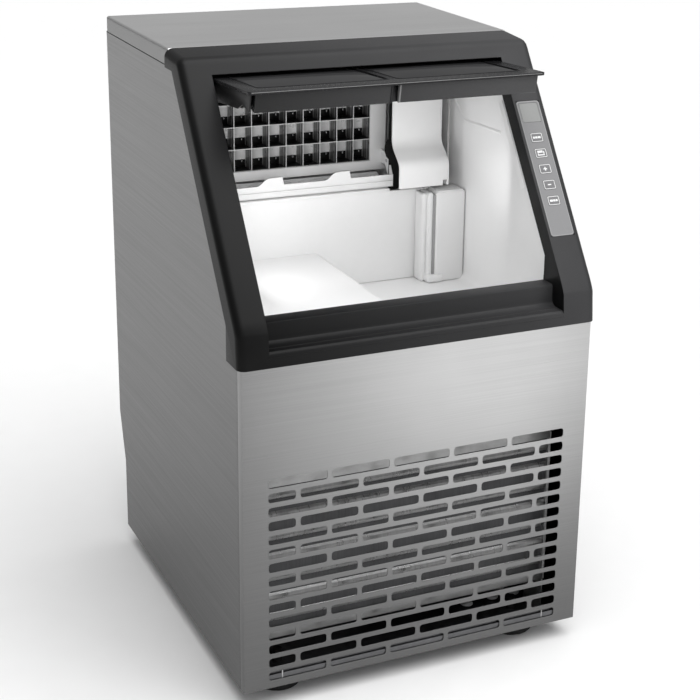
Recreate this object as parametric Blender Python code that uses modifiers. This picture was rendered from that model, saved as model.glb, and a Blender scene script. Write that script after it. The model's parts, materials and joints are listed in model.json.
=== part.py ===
"""Free-standing ice maker with a sloping front door that tips up and slides back under the top cover.

Every piece is placed in case coordinates: x to the right from the middle, depth behind the front
panel, height above the case's underside. One empty carries them all, so that the model stands on
its feet at z = 0 with its origin under the middle of the case. The door is open at rest.
"""

import math

import bmesh
import bpy
from mathutils import Matrix, Vector

# Case
CASE_WIDTH = 0.380
CASE_DEPTH = 0.4243
CASE_HEIGHT = 0.6087
SHEET = 0.0010
SEAM = 0.0003
COVER_LIP = 0.0170
COVER_CORNER = 0.0025
PANEL_RETURN = 0.0100
STEP_HEIGHT = 0.142
STEP_FOOT_HEIGHT = 0.083
STEP_INSET = 0.018
PAN_FLANGE = 0.014
FOOT_HEIGHT = 0.022
FOOT_RADIUS = 0.024
FOOT_STUD_RADIUS = 0.005
FOOT_STUD_LENGTH = 0.036
FOOT_INSET_X = 0.053
FOOT_FRONT = 0.047
FOOT_REAR = 0.362

# Front grille
GRILLE_ROWS = 15
GRILLE_SLOTS = 5
GRILLE_WIDTH = 0.3266
GRILLE_LOW_ROW = 0.0133
GRILLE_PITCH = 0.01494
SLOT_HEIGHT = 0.0096
SLOT_WEB = 0.00515

# Door frame around the opening (the bezel)
BEZEL_PROUD = 0.003
BEZEL_WALL = 0.003
BEZEL_FLANGE = 0.026
BEZEL_LOW = 0.342
BEZEL_REAR = 0.032
KNEE_DEPTH = 0.004
KNEE_HEIGHT = 0.382
SLOPE = math.radians(35)
TOP_STRIP = 0.043
TOP_STRIP_DROP = 0.0032
TOP_RAIL = 0.0185
TOP_RAIL_EDGE = 0.0015
OPENING_LEFT = -0.1625
OPENING_RIGHT = 0.155
RETURN_REACH = 0.018
SILL_HEIGHT = 0.3785
SILL_FRONT = 0.0225
SILL_BACK = 0.0415
LEDGE_HEIGHT = 0.3570

# Control panel on the right rail
PANEL_MIDDLE_X = 0.1715
PANEL_WIDTH = 0.0270
PANEL_LOW = 0.0530
PANEL_LENGTH = 0.1500
PANEL_THICK = 0.0009
KEY_WIDTH = 0.0120
KEY_LENGTH = 0.0100
KEY_TRAVEL = 0.0006
KEY_PROUD = 0.0002
KEY_GAP = 0.00025
KEY_LOW = 0.0914
KEY_PITCH = 0.01755
KEY_NAMES = ("key_clean", "key_minus", "key_plus", "key_timer", "key_power")
DISPLAY_WIDTH = 0.0210
DISPLAY_LENGTH = 0.0190
DISPLAY_LOW = 0.1790

# Door
DOOR_GAP = 0.002
DOOR_TOP_GAP = 0.003
DOOR_LENGTH = 0.2715
DOOR_PLATE = 0.004
DOOR_RIM = 0.020
DOOR_HANDLE_RIM = 0.030
DOOR_WALL = 0.0025
DOOR_WALL_INSET = 0.008
DOOR_LIP_INSET = 0.0065
DOOR_LIP_DROP = 0.0210
DOOR_BACK_DROP = 0.0280
DOOR_NOTCH = 0.0220
DOOR_NOTCH_DROP = 0.0160
DOOR_NOTCH_RISE = 0.0135
DOOR_SIDE_DROP = 0.0215
DOOR_TILT = math.radians(3)
DOOR_TRAVEL = 0.1584
WINDOW_THICK = 0.0025
WINDOW_LAP = 0.006
PIN_FROM_TOP = 0.018
PIN_DROP = 0.012
PIN_RADIUS = 0.0027
PIN_HEAD_RADIUS = 0.0045
PIN_CLEARANCE = 0.0003
TRACK_DEPTH = 0.005
TRACK_WALL = 0.002
TRACK_HEIGHT = 0.0195
TRACK_START = 0.1670
TRACK_END_SPARE = 0.012

# Ice bin
LINER_WALL = 0.0025
LINER_FRONT = 0.0425
LINER_BACK = 0.3450
LINER_TOP = 0.5590
BIN_FLOOR = 0.3265
RAISED_FLOOR = 0.3680
RAISED_EDGE = -0.0055
STEP_RUN = 0.0210
FOAM_LOW = 0.3180
FOAM_FRONT = 0.0480

# Water tank and its covers
TANK_WALL = 0.0025
TANK_FRONT = 0.2425
TANK_BACK = 0.3380
TANK_HEIGHT = 0.4305
HOUSING_LEFT = 0.1040
HOUSING_FRONT = 0.2165
COVER_LEFT = 0.0750
COVER_RIGHT = 0.1350
COVER_FRONT = 0.2220
COVER_BACK = 0.2780
COVER_STEP_BACK = 0.0255
COVER_STEP_LOW = 0.4640
COVER_STEP_HIGH = 0.4820
COVER_TOP = 0.5500
COVER_WALL = 0.0020

# Evaporator
CELL_COLUMNS = 9
CELL_ROWS = 4
CELL_WIDTH = 0.0199
CELL_HEIGHT = 0.0244
CELL_WALL = 0.0009
CELL_DEPTH = 0.0200
CELL_BACK = 0.0020
GRID_RIGHT = 0.0655
GRID_LOW = 0.4566
SURROUND_FRONT = 0.2815
SURROUND_THICK = 0.0060
SURROUND_SIDE = 0.0190
SURROUND_LOW = 0.0110
SURROUND_TOP = 0.0016
COIL_RADIUS = 0.0040
SPRAY_RADIUS = 0.0062

# Ice flap
FLAP_AXIS_DEPTH = 0.2620
FLAP_AXIS_HEIGHT = 0.4600
FLAP_FRONT = 0.2480
FLAP_THICK = 0.0020
FLAP_LOW = 0.4340
FLAP_TOP = 0.4475
FLAP_TAB_TOP = 0.4560
FLAP_TAB_WIDTH = 0.016
FLAP_TAB_SWEEP = 0.014
FLAP_TAB_PLACES = (0.75, 0.37)
FLAP_PIN_RADIUS = 0.0020
FLAP_BOSS_RADIUS = 0.0045
FLAP_ARM = 0.0022

# Machine compartment
CONDENSER_LEFT = -0.162
CONDENSER_RIGHT = 0.160
CONDENSER_LOW = 0.044
CONDENSER_TOP = 0.212
CONDENSER_FRONT = 0.022
CONDENSER_HOOD = 0.022
CONDENSER_THICK = 0.036
SHROUD_DEPTH = 0.024
SHROUD_WALL = 0.0015
FAN_RADIUS = 0.074
FAN_TIP_GAP = 0.004
FAN_HUB_RADIUS = 0.020
FAN_BLADES = 5
FAN_THICK = 0.014
MOTOR_RADIUS = 0.028
MOTOR_LENGTH = 0.040
COMPRESSOR_X = 0.095
COMPRESSOR_DEPTH = 0.275
COMPRESSOR_RADIUS = 0.060
COMPRESSOR_HEIGHT = 0.150
COMPRESSOR_BASE = 0.0180
PUMP_X = 0.1270
PUMP_DEPTH = 0.3000
PUMP_CAN_RADIUS = 0.0190
VOLUTE_RADIUS = 0.0210
IMPELLER_RADIUS = 0.0140
FLOAT_X = -0.1400
FLOAT_DEPTH = 0.2900
FLOAT_RADIUS = 0.0120
FLOAT_STEM_RADIUS = 0.0030

# Back fittings, on the inset foot of the back
FITTING_HEIGHT = 0.045
INLET_X = -0.100
DRAIN_X = -0.045
SOCKET_X = 0.110
INLET_RADIUS = 0.0100
DRAIN_RADIUS = 0.0080
SOCKET_WIDTH = 0.048
SOCKET_HEIGHT = 0.028

# Worked out from the sizes above
HALF_WIDTH = CASE_WIDTH / 2
SLOPE_LENGTH = (CASE_HEIGHT - TOP_STRIP_DROP - KNEE_HEIGHT) / math.cos(SLOPE)
OPENING_TOP = SLOPE_LENGTH - TOP_RAIL
OPENING_MIDDLE = (OPENING_LEFT + OPENING_RIGHT) / 2
OPENING_WIDTH = OPENING_RIGHT - OPENING_LEFT
LID_FRONT = KNEE_DEPTH + SLOPE_LENGTH * math.sin(SLOPE) + TOP_STRIP
SIDE_TOP = CASE_HEIGHT - COVER_LIP - SEAM
DOOR_HALF = OPENING_WIDTH / 2 - DOOR_GAP

collection = None
cutters = None
root = None


def slope_point(along, inward=0.0):
    """(depth, height) of a point up the sloping front face, and that far behind it."""
    depth = KNEE_DEPTH + along * math.sin(SLOPE) + inward * math.cos(SLOPE)
    height = KNEE_HEIGHT + along * math.cos(SLOPE) - inward * math.sin(SLOPE)
    return depth, height


def slope_at_depth(depth, inward):
    """The point of the line that far behind the slope, at this depth."""
    along = (depth - KNEE_DEPTH - inward * math.cos(SLOPE)) / math.sin(SLOPE)
    return slope_point(along, inward)


def slope_at_height(height, inward):
    """The point of the line that far behind the slope, at this height."""
    along = (height - KNEE_HEIGHT + inward * math.sin(SLOPE)) / math.cos(SLOPE)
    return slope_point(along, inward)


PIN_CLOSED = slope_point(OPENING_TOP - DOOR_TOP_GAP - PIN_FROM_TOP, PIN_DROP)
PIN_OPEN = (PIN_CLOSED[0] + DOOR_TRAVEL, PIN_CLOSED[1])


# Scene and materials


def clear_scene():
    for obj in list(bpy.data.objects):
        bpy.data.objects.remove(obj, do_unlink=True)


def make_collections():
    global collection, cutters, root
    collection = bpy.data.collections.new("ice_maker")
    cutters = bpy.data.collections.new("cutters")
    bpy.context.scene.collection.children.link(collection)
    bpy.context.scene.collection.children.link(cutters)
    root = bpy.data.objects.new("case_origin", None)
    root.location = (0, -(CASE_DEPTH - BEZEL_PROUD) / 2, FOOT_HEIGHT)
    collection.objects.link(root)


def material(name, colour, roughness, metallic=0.0):
    made = bpy.data.materials.get(name)
    if made is None:
        made = bpy.data.materials.new(name)
        made.use_nodes = True
        shader = made.node_tree.nodes["Principled BSDF"]
        shader.inputs["Base Color"].default_value = (*colour, 1)
        shader.inputs["Roughness"].default_value = roughness
        shader.inputs["Metallic"].default_value = metallic
    return made


def steel():
    return material("brushed_steel", (0.46, 0.46, 0.46), 0.35, 1.0)


def galvanised():
    return material("galvanised_steel", (0.55, 0.56, 0.57), 0.45, 1.0)


def black_plastic():
    return material("black_plastic", (0.02, 0.02, 0.021), 0.45)


def grey_plastic():
    return material("grey_membrane", (0.36, 0.36, 0.37), 0.4)


def white_plastic():
    return material("white_plastic", (0.82, 0.82, 0.82), 0.35)


def smoked():
    return material("smoked_acrylic", (0.02, 0.02, 0.02), 0.08)


def foam():
    return material("insulation_foam", (0.75, 0.68, 0.5), 0.9)


def copper():
    return material("copper", (0.72, 0.38, 0.25), 0.3, 1.0)


def tin():
    return material("tinned_copper", (0.8, 0.8, 0.8), 0.2, 1.0)


def black_paint():
    return material("black_paint", (0.015, 0.015, 0.016), 0.3)


def rubber():
    return material("rubber", (0.015, 0.015, 0.015), 0.8)


# Shapes


def add_object(name, mesh, paint, location=(0, 0, 0), rotation=(0, 0, 0)):
    obj = bpy.data.objects.new(name, mesh)
    if paint is not None:
        mesh.materials.append(paint)
    obj.parent = root
    obj.location = location
    obj.rotation_euler = rotation
    collection.objects.link(obj)
    return obj


def box(name, low, high, paint=None, bevel=0.0, segments=2):
    """A block between two corners, with its edges rounded where bevel is given."""
    low = Vector(low)
    high = Vector(high)
    shape = bmesh.new()
    bmesh.ops.create_cube(shape, size=1.0)
    bmesh.ops.scale(shape, vec=high - low, verts=shape.verts)
    mesh = bpy.data.meshes.new(name)
    shape.to_mesh(mesh)
    shape.free()
    obj = add_object(name, mesh, paint, (low + high) / 2)
    if bevel:
        rounding = obj.modifiers.new("round_edges", "BEVEL")
        rounding.width = bevel
        rounding.segments = segments
    return obj


def mesh_from_curve(curve_object, name, paint):
    """Turns a curve object into a welded mesh object in the same place."""
    bpy.context.view_layer.update()
    graph = bpy.context.evaluated_depsgraph_get()
    mesh = bpy.data.meshes.new_from_object(curve_object.evaluated_get(graph))
    mesh.name = name
    shape = bmesh.new()
    shape.from_mesh(mesh)
    bmesh.ops.remove_doubles(shape, verts=shape.verts, dist=0.00001)
    bmesh.ops.recalc_face_normals(shape, faces=shape.faces)
    shape.to_mesh(mesh)
    shape.free()
    mesh.materials.clear()
    obj = add_object(name, mesh, paint, curve_object.location, curve_object.rotation_euler)
    bpy.data.objects.remove(curve_object, do_unlink=True)
    return obj


def outline(name, points, low, high, paint=None, across="x", hole=None):
    """A flat outline given thickness from low to high along the axis that it lies across.

    Across x the points are (depth, height), across y (x, height), and across z (x, depth).
    """
    flat = bpy.data.curves.new(name + "_outline", "CURVE")
    flat.dimensions = "2D"
    flat.fill_mode = "BOTH"
    flat.extrude = (high - low) / 2
    for loop in (points, hole):
        if loop is None:
            continue
        spline = flat.splines.new("POLY")
        spline.points.add(len(loop) - 1)
        for point, place in zip(spline.points, loop):
            point.co = (place[0], place[1], 0, 1)
        spline.use_cyclic_u = True
    middle = (low + high) / 2
    location, rotation = {
        "x": ((middle, 0, 0), (math.pi / 2, 0, math.pi / 2)),
        "y": ((0, middle, 0), (math.pi / 2, 0, 0)),
        "z": ((0, 0, middle), (0, 0, 0)),
    }[across]
    holder = bpy.data.objects.new(name + "_curve", flat)
    holder.parent = root
    holder.location = location
    holder.rotation_euler = rotation
    collection.objects.link(holder)
    return mesh_from_curve(holder, name, paint)


def turned(name, profile, paint, location, along="z", steps=24, ring=False):
    """A profile of (radius, height) points turned about the local Z axis."""
    mesh = bpy.data.meshes.new(name)
    points = [(radius, 0, height) for radius, height in profile]
    edges = [(i, i + 1) for i in range(len(points) - 1)]
    if ring:
        edges.append((len(points) - 1, 0))
    mesh.from_pydata(points, edges, [])
    rotation = {"z": (0, 0, 0), "x": (0, math.pi / 2, 0), "y": (-math.pi / 2, 0, 0)}[along]
    obj = add_object(name, mesh, paint, location, rotation)
    screw = obj.modifiers.new("turn", "SCREW")
    screw.angle = 2 * math.pi
    screw.steps = steps
    screw.render_steps = steps
    screw.use_merge_vertices = True
    screw.merge_threshold = 0.00001
    screw.use_smooth_shade = True
    return obj


def filleted(corners, bend, steps=4):
    """The corners of a bent tube, each replaced by an arc of the bend radius."""
    points = [Vector(corners[0])]
    for before, corner, after in zip(corners, corners[1:], corners[2:]):
        corner = Vector(corner)
        back = (Vector(before) - corner).normalized()
        ahead = (Vector(after) - corner).normalized()
        half = back.angle(ahead) / 2
        reach = bend / math.tan(half)
        middle = corner + (back + ahead).normalized() * bend / math.sin(half)
        first = (corner + back * reach - middle).normalized()
        last = (corner + ahead * reach - middle).normalized()
        for i in range(steps + 1):
            points.append(middle + bend * first.slerp(last, i / steps))
    points.append(Vector(corners[-1]))
    return points


def tube(name, corners, radius, bend, paint):
    """A round tube through the corners, bent at each one."""
    path = bpy.data.curves.new(name, "CURVE")
    path.dimensions = "3D"
    path.bevel_depth = radius
    path.bevel_resolution = 2
    path.use_fill_caps = True
    places = filleted(corners, bend) if len(corners) > 2 else [Vector(c) for c in corners]
    spline = path.splines.new("POLY")
    spline.points.add(len(places) - 1)
    for point, place in zip(spline.points, places):
        point.co = (*place, 1)
    obj = bpy.data.objects.new(name, path)
    path.materials.append(paint)
    obj.parent = root
    collection.objects.link(obj)
    return obj


def use_tool(obj, tool, operation):
    """Cuts the tool from the object, or joins it on."""
    collection.objects.unlink(tool)
    cutters.objects.link(tool)
    tool.hide_render = True
    tool.display_type = "WIRE"
    change = obj.modifiers.new(tool.name, "BOOLEAN")
    change.operation = operation
    change.object = tool
    change.solver = "EXACT"


def cut(obj, *tools):
    for tool in tools:
        use_tool(obj, tool, "DIFFERENCE")


def join(obj, *tools):
    for tool in tools:
        use_tool(obj, tool, "UNION")


def merged(name, pieces):
    """Several closed shapes that don't touch, made one tool for a single Boolean."""
    shape = bmesh.new()
    for low, high in pieces:
        low = Vector(low)
        high = Vector(high)
        made = bmesh.ops.create_cube(shape, size=1.0)["verts"]
        bmesh.ops.scale(shape, vec=high - low, verts=made)
        bmesh.ops.translate(shape, vec=(low + high) / 2, verts=made)
    mesh = bpy.data.meshes.new(name)
    shape.to_mesh(mesh)
    shape.free()
    return add_object(name, mesh, None)


# Case


def grille_slots():
    """The slots as (left, right, height), in brick bond with half slots at the ends of even rows."""
    full = (GRILLE_WIDTH + SLOT_WEB) / GRILLE_SLOTS - SLOT_WEB
    half = (full - SLOT_WEB) / 2
    slots = []
    for row in range(GRILLE_ROWS):
        height = GRILLE_LOW_ROW + (GRILLE_ROWS - 1 - row) * GRILLE_PITCH
        widths = [full] * GRILLE_SLOTS
        if row % 2:
            widths = [half] + [full] * (GRILLE_SLOTS - 1) + [half]
        left = -GRILLE_WIDTH / 2
        for width in widths:
            slots.append((left, left + width, height))
            left += width + SLOT_WEB
    return slots


def front_panel():
    top = BEZEL_LOW - SEAM
    panel = box("front_grille_panel", (-HALF_WIDTH, 0, 0), (HALF_WIDTH, PANEL_RETURN, top), steel())
    inside = HALF_WIDTH - SHEET
    room = box("front_panel_room", (-inside, SHEET, -0.01), (inside, PANEL_RETURN + 0.01, top + 0.01))
    holes = [
        ((left, -0.01, height - SLOT_HEIGHT / 2), (right, PANEL_RETURN, height + SLOT_HEIGHT / 2))
        for left, right, height in grille_slots()
    ]
    cut(panel, room, merged("front_panel_slots", holes))


def side_outline():
    """The side panel in (depth, height): it tucks under the bezel and steps in at its lower back."""
    front = PANEL_RETURN + SEAM
    tuck = 0.0165
    knee = slope_at_depth(front, tuck)
    top = slope_at_height(SIDE_TOP, tuck)
    return [
        (front, 0),
        (CASE_DEPTH - STEP_INSET, 0),
        (CASE_DEPTH - STEP_INSET, STEP_FOOT_HEIGHT),
        (CASE_DEPTH, STEP_HEIGHT),
        (CASE_DEPTH, SIDE_TOP),
        top,
        knee,
    ]


def side_panels():
    outside = HALF_WIDTH
    inside = HALF_WIDTH - SHEET
    outline("left_side_panel", side_outline(), -outside, -inside, steel())
    outline("right_side_panel", side_outline(), inside, outside, steel())


def back_panel():
    back = CASE_DEPTH
    foot = CASE_DEPTH - STEP_INSET
    points = [
        (back, SIDE_TOP),
        (back, STEP_HEIGHT),
        (foot, STEP_FOOT_HEIGHT),
        (foot, 0),
        (foot - SHEET, 0),
        (foot - SHEET, STEP_FOOT_HEIGHT),
        (back - SHEET, STEP_HEIGHT),
        (back - SHEET, SIDE_TOP),
    ]
    half = HALF_WIDTH - SHEET - SEAM
    panel = outline("back_panel", points, -half, half, galvanised())
    vent_width = 0.070
    vent_height = 0.004
    vents = []
    for column in (-1, 0, 1):
        for row in range(8):
            x = column * 0.095
            z = STEP_HEIGHT + 0.030 + row * 0.014
            lower = (x - vent_width / 2, back - 0.01, z)
            vents.append((lower, (x + vent_width / 2, back + 0.01, z + vent_height)))
    holes = []
    for x, radius in ((INLET_X, INLET_RADIUS), (DRAIN_X, DRAIN_RADIUS)):
        reach = radius + SEAM
        profile = [(0, 0.01), (reach, 0.01), (reach, -0.01), (0, -0.01)]
        holes.append(turned("hole_at_%d" % round(x * 1000), profile, None, (x, foot, FITTING_HEIGHT), "y"))
    half_socket = SOCKET_WIDTH / 2 + SEAM
    high_socket = SOCKET_HEIGHT / 2 + SEAM
    socket = box(
        "socket_hole",
        (SOCKET_X - half_socket, foot - 0.01, FITTING_HEIGHT - high_socket),
        (SOCKET_X + half_socket, foot + 0.01, FITTING_HEIGHT + high_socket),
    )
    cut(panel, merged("back_vents", vents), socket, *holes)


def top_cover():
    low = CASE_HEIGHT - COVER_LIP
    front = LID_FRONT + SEAM
    lid = box(
        "top_cover",
        (-HALF_WIDTH, front, low - COVER_LIP),
        (HALF_WIDTH, CASE_DEPTH, CASE_HEIGHT),
        steel(),
        COVER_CORNER,
        3,
    )
    half = HALF_WIDTH - SHEET
    room = box(
        "top_cover_room",
        (-half, front + SHEET, low - 2 * COVER_LIP),
        (half, CASE_DEPTH - SHEET, CASE_HEIGHT - SHEET),
        None,
        COVER_CORNER - SHEET,
        3,
    )
    below = box("top_cover_trim", (-1, front - 0.01, low - 0.1), (1, CASE_DEPTH + 0.01, low))
    cut(lid, room, below)


def foot_places():
    reach = HALF_WIDTH - FOOT_INSET_X
    return [
        ("foot_front_left", -reach, FOOT_FRONT),
        ("foot_front_right", reach, FOOT_FRONT),
        ("foot_rear_left", -reach, FOOT_REAR),
        ("foot_rear_right", reach, FOOT_REAR),
    ]


def base_pan():
    half = HALF_WIDTH - SHEET - SEAM
    front = SHEET + SEAM
    back = CASE_DEPTH - STEP_INSET - SHEET - SEAM
    pan = box("base_pan", (-half, front, 0), (half, back, PAN_FLANGE), galvanised())
    room = box(
        "base_pan_room",
        (-half + SHEET, front + SHEET, SHEET),
        (half - SHEET, back - SHEET, PAN_FLANGE + 0.01),
    )
    cut(pan, room)
    reach = FOOT_STUD_RADIUS + SEAM
    for name, x, depth in foot_places():
        profile = [(0, 0.01), (reach, 0.01), (reach, -0.01), (0, -0.01)]
        cut(pan, turned(name + "_hole", profile, None, (x, depth, 0), steps=12))


def feet():
    """Threaded levelling feet: a rubber disc on a stud through the pan."""
    for name, x, depth in foot_places():
        profile = [
            (0, FOOT_STUD_LENGTH),
            (FOOT_STUD_RADIUS, FOOT_STUD_LENGTH),
            (FOOT_STUD_RADIUS, FOOT_HEIGHT - 0.006),
            (FOOT_RADIUS * 0.55, FOOT_HEIGHT - 0.008),
            (FOOT_RADIUS * 0.88, 0.009),
            (FOOT_RADIUS, 0.007),
            (FOOT_RADIUS, 0.0015),
            (FOOT_RADIUS - 0.0015, 0),
            (0, 0),
        ]
        turned(name, profile, rubber(), (x, depth, -FOOT_HEIGHT), steps=20)


# Bezel


def front_line():
    """The bezel's outer face in (depth, height), from its bottom edge up and back to the top cover."""
    return [
        (-BEZEL_PROUD, BEZEL_LOW),
        (0.0002, KNEE_HEIGHT - 0.008),
        (KNEE_DEPTH, KNEE_HEIGHT),
        slope_point(SLOPE_LENGTH),
        (LID_FRONT, CASE_HEIGHT),
    ]


def inward(points, distance):
    """The line that runs this far behind a line going up, with mitred corners."""
    result = []
    for i, point in enumerate(points):
        here = Vector(point)
        before = Vector(points[max(i - 1, 0)])
        after = Vector(points[min(i + 1, len(points) - 1)])
        first = (here - before).normalized() if i else (after - here).normalized()
        last = (after - here).normalized() if i < len(points) - 1 else first
        side_a = Vector((first.y, -first.x))
        side_b = Vector((last.y, -last.x))
        middle = (side_a + side_b).normalized()
        moved = here + middle * distance / middle.dot(side_a)
        result.append((moved.x, moved.y))
    return result


def bezel():
    half = HALF_WIDTH + BEZEL_PROUD
    face = front_line()
    back = inward(face, BEZEL_WALL)
    back[0] = (back[0][0], BEZEL_LOW)
    back[-1] = (LID_FRONT, back[-1][1])
    skin = outline("window_frame", face + back[::-1], -half, half, black_plastic())
    mouth = [
        (-0.05, LEDGE_HEIGHT - 0.002),
        (0.02, LEDGE_HEIGHT - 0.002),
        slope_point(0.02, 0.02),
        slope_point(OPENING_TOP + 0.02, 0.02),
        slope_point(OPENING_TOP + 2 * (BEZEL_WALL - TOP_RAIL_EDGE), BEZEL_WALL),
        slope_point(OPENING_TOP, TOP_RAIL_EDGE),
        slope_point(OPENING_TOP, -0.02),
        (-0.05, KNEE_HEIGHT),
    ]
    cut(skin, outline("bezel_mouth", mouth, OPENING_LEFT, OPENING_RIGHT))

    rear = [
        (LID_FRONT, SIDE_TOP - 0.0012),
        slope_at_height(SIDE_TOP - 0.0012, BEZEL_FLANGE),
        slope_at_depth(BEZEL_REAR, BEZEL_FLANGE),
        (BEZEL_REAR, BEZEL_LOW),
    ]
    flange = face + rear
    gap = HALF_WIDTH + SEAM
    join(skin, outline("bezel_flange_left", flange, -half, -gap))
    join(skin, outline("bezel_flange_right", flange, gap, half))

    inset = inward(face, BEZEL_WALL / 2)
    wall = [
        (0.0015, LEDGE_HEIGHT - 0.004),
        inset[1],
        inset[2],
        slope_point(OPENING_TOP + 0.002, BEZEL_WALL / 2),
        slope_point(OPENING_TOP + 0.002, RETURN_REACH),
        slope_at_depth(SILL_BACK, RETURN_REACH),
        (SILL_BACK, SILL_HEIGHT - BEZEL_WALL),
        (SILL_FRONT + BEZEL_WALL, SILL_HEIGHT - BEZEL_WALL),
        (SILL_FRONT + BEZEL_WALL, LEDGE_HEIGHT - 0.004),
    ]
    join(skin, outline("bezel_return_left", wall, OPENING_LEFT - BEZEL_WALL, OPENING_LEFT))
    join(skin, outline("bezel_return_right", wall, OPENING_RIGHT, OPENING_RIGHT + BEZEL_WALL))

    rail = [
        (-BEZEL_PROUD + 0.001, LEDGE_HEIGHT - 0.0045),
        (0.0, LEDGE_HEIGHT),
        (SILL_FRONT - 0.006, LEDGE_HEIGHT),
        (SILL_FRONT - 0.002, LEDGE_HEIGHT + 0.001),
        (SILL_FRONT, LEDGE_HEIGHT + 0.004),
        (SILL_FRONT, SILL_HEIGHT),
        (SILL_BACK, SILL_HEIGHT),
        (SILL_BACK, SILL_HEIGHT - BEZEL_WALL),
        (SILL_FRONT + BEZEL_WALL, SILL_HEIGHT - BEZEL_WALL),
        (SILL_FRONT + BEZEL_WALL, LEDGE_HEIGHT - BEZEL_WALL),
        (0.0, LEDGE_HEIGHT - BEZEL_WALL),
        (-0.001, LEDGE_HEIGHT - 0.0065),
    ]
    side = BEZEL_WALL / 2
    join(skin, outline("bezel_sill", rail, OPENING_LEFT - side, OPENING_RIGHT + side))

    slot = PIN_RADIUS + PIN_CLEARANCE
    run = (PIN_CLOSED[0] - slot - 0.001, PIN_CLOSED[1] - slot)
    far = (TRACK_START + 0.01, PIN_CLOSED[1] + slot)
    outer = BEZEL_WALL + 0.004
    cut(
        skin,
        box("pin_slot_left", (OPENING_LEFT - outer, *run), (OPENING_LEFT + 0.004, *far)),
        box("pin_slot_right", (OPENING_RIGHT - 0.004, *run), (OPENING_RIGHT + outer, *far)),
    )
    control_pockets(skin)


# Control panel


def on_slope(name, x, along, width, length, low, high, paint=None, bevel=0.0):
    """A block lying on the sloping face: low and high are heights above that face."""
    shape = box(name, (-width / 2, -length / 2, low), (width / 2, length / 2, high), paint, bevel, 2)
    middle = (low + high) / 2
    shape.location = (x, *slope_point(along, -middle))
    shape.rotation_euler = (math.pi / 2 - SLOPE, 0, 0)
    return shape


def key_places():
    return [(name, KEY_LOW + i * KEY_PITCH) for i, name in enumerate(KEY_NAMES)]


def control_pockets(skin):
    """Shallow pockets in the right rail for the panel and for each key's travel."""
    middle = PANEL_LOW + PANEL_LENGTH / 2
    pocket = PANEL_THICK + SEAM
    room = 2 * SEAM
    pocket_size = (PANEL_WIDTH + room, PANEL_LENGTH + room)
    cut(skin, on_slope("panel_pocket", PANEL_MIDDLE_X, middle, *pocket_size, -pocket, 0.01))
    deep = pocket + KEY_TRAVEL + SEAM
    for name, along in key_places():
        width = KEY_WIDTH + 2 * KEY_GAP
        length = KEY_LENGTH + 2 * KEY_GAP
        cut(skin, on_slope(name + "_pocket", PANEL_MIDDLE_X, along, width, length, -deep, 0.01))


def control_panel():
    middle = PANEL_LOW + PANEL_LENGTH / 2
    place = (PANEL_MIDDLE_X, middle, PANEL_WIDTH, PANEL_LENGTH, -PANEL_THICK, 0)
    overlay = on_slope("control_overlay", *place, grey_plastic())
    display = DISPLAY_LOW + DISPLAY_LENGTH / 2
    width = DISPLAY_WIDTH + 2 * KEY_GAP
    length = DISPLAY_LENGTH + 2 * KEY_GAP
    cut(overlay, on_slope("display_hole", PANEL_MIDDLE_X, display, width, length, -0.01, 0.01))
    for name, along in key_places():
        width = KEY_WIDTH + 2 * KEY_GAP
        length = KEY_LENGTH + 2 * KEY_GAP
        cut(overlay, on_slope(name + "_hole", PANEL_MIDDLE_X, along, width, length, -0.01, 0.01))
        place = (PANEL_MIDDLE_X, along, KEY_WIDTH, KEY_LENGTH, -PANEL_THICK, KEY_PROUD)
        on_slope(name, *place, grey_plastic())
    on_slope(
        "display_window",
        PANEL_MIDDLE_X,
        display,
        DISPLAY_WIDTH,
        DISPLAY_LENGTH,
        -PANEL_THICK,
        0,
        smoked(),
    )


# Door


def on_door(obj):
    """Turns a shape made about the pin axis to the open door's place."""
    turn = Matrix.Rotation(-DOOR_TILT, 3, "X")
    obj.location = Vector((OPENING_MIDDLE, *PIN_OPEN)) + turn @ obj.location
    obj.rotation_euler = (turn @ obj.rotation_euler.to_matrix()).to_euler()
    return obj


def door_shape():
    front = PIN_FROM_TOP - DOOR_LENGTH
    return front, PIN_FROM_TOP, PIN_DROP


def door():
    front, back, face = door_shape()
    plate = box(
        "door_frame",
        (-DOOR_HALF, front, face - DOOR_PLATE),
        (DOOR_HALF, back, face),
        black_plastic(),
        0.0012,
        2,
    )
    on_door(plate)
    hole = box(
        "door_light",
        (-DOOR_HALF + DOOR_RIM, front + DOOR_HANDLE_RIM, face - 0.02),
        (DOOR_HALF - DOOR_RIM, back - DOOR_RIM, face + 0.02),
    )
    cut(plate, on_door(hole))
    outer = DOOR_HALF - DOOR_WALL_INSET
    inner = outer - DOOR_WALL
    lip = front + DOOR_LIP_INSET
    under = face - DOOR_PLATE + 0.0012
    side = [
        (lip, under),
        (back - 0.0015, under),
        (back - 0.0015, face - DOOR_BACK_DROP),
        (lip + DOOR_NOTCH + DOOR_NOTCH_RISE, face - DOOR_SIDE_DROP),
        (lip + DOOR_NOTCH, face - DOOR_NOTCH_DROP),
        (lip + DOOR_NOTCH / 2, face - (DOOR_NOTCH_DROP + DOOR_LIP_DROP) / 2),
        (lip + 0.004, face - DOOR_LIP_DROP),
        (lip, face - DOOR_LIP_DROP + 0.003),
    ]
    join(plate, on_door(outline("door_side_left", side, -outer, -inner)))
    join(plate, on_door(outline("door_side_right", side, inner, outer)))
    start = (-outer + 0.0005, lip, face - DOOR_LIP_DROP)
    strip = box("door_lip", start, (outer - 0.0005, lip + DOOR_WALL, under))
    join(plate, on_door(strip))
    reach = PIN_RADIUS + PIN_CLEARANCE
    profile = [(0, 1), (reach, 1), (reach, -1), (0, -1)]
    cut(plate, on_door(turned("door_pin_holes", profile, None, (0, 0, 0), "x", 16)))


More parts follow.
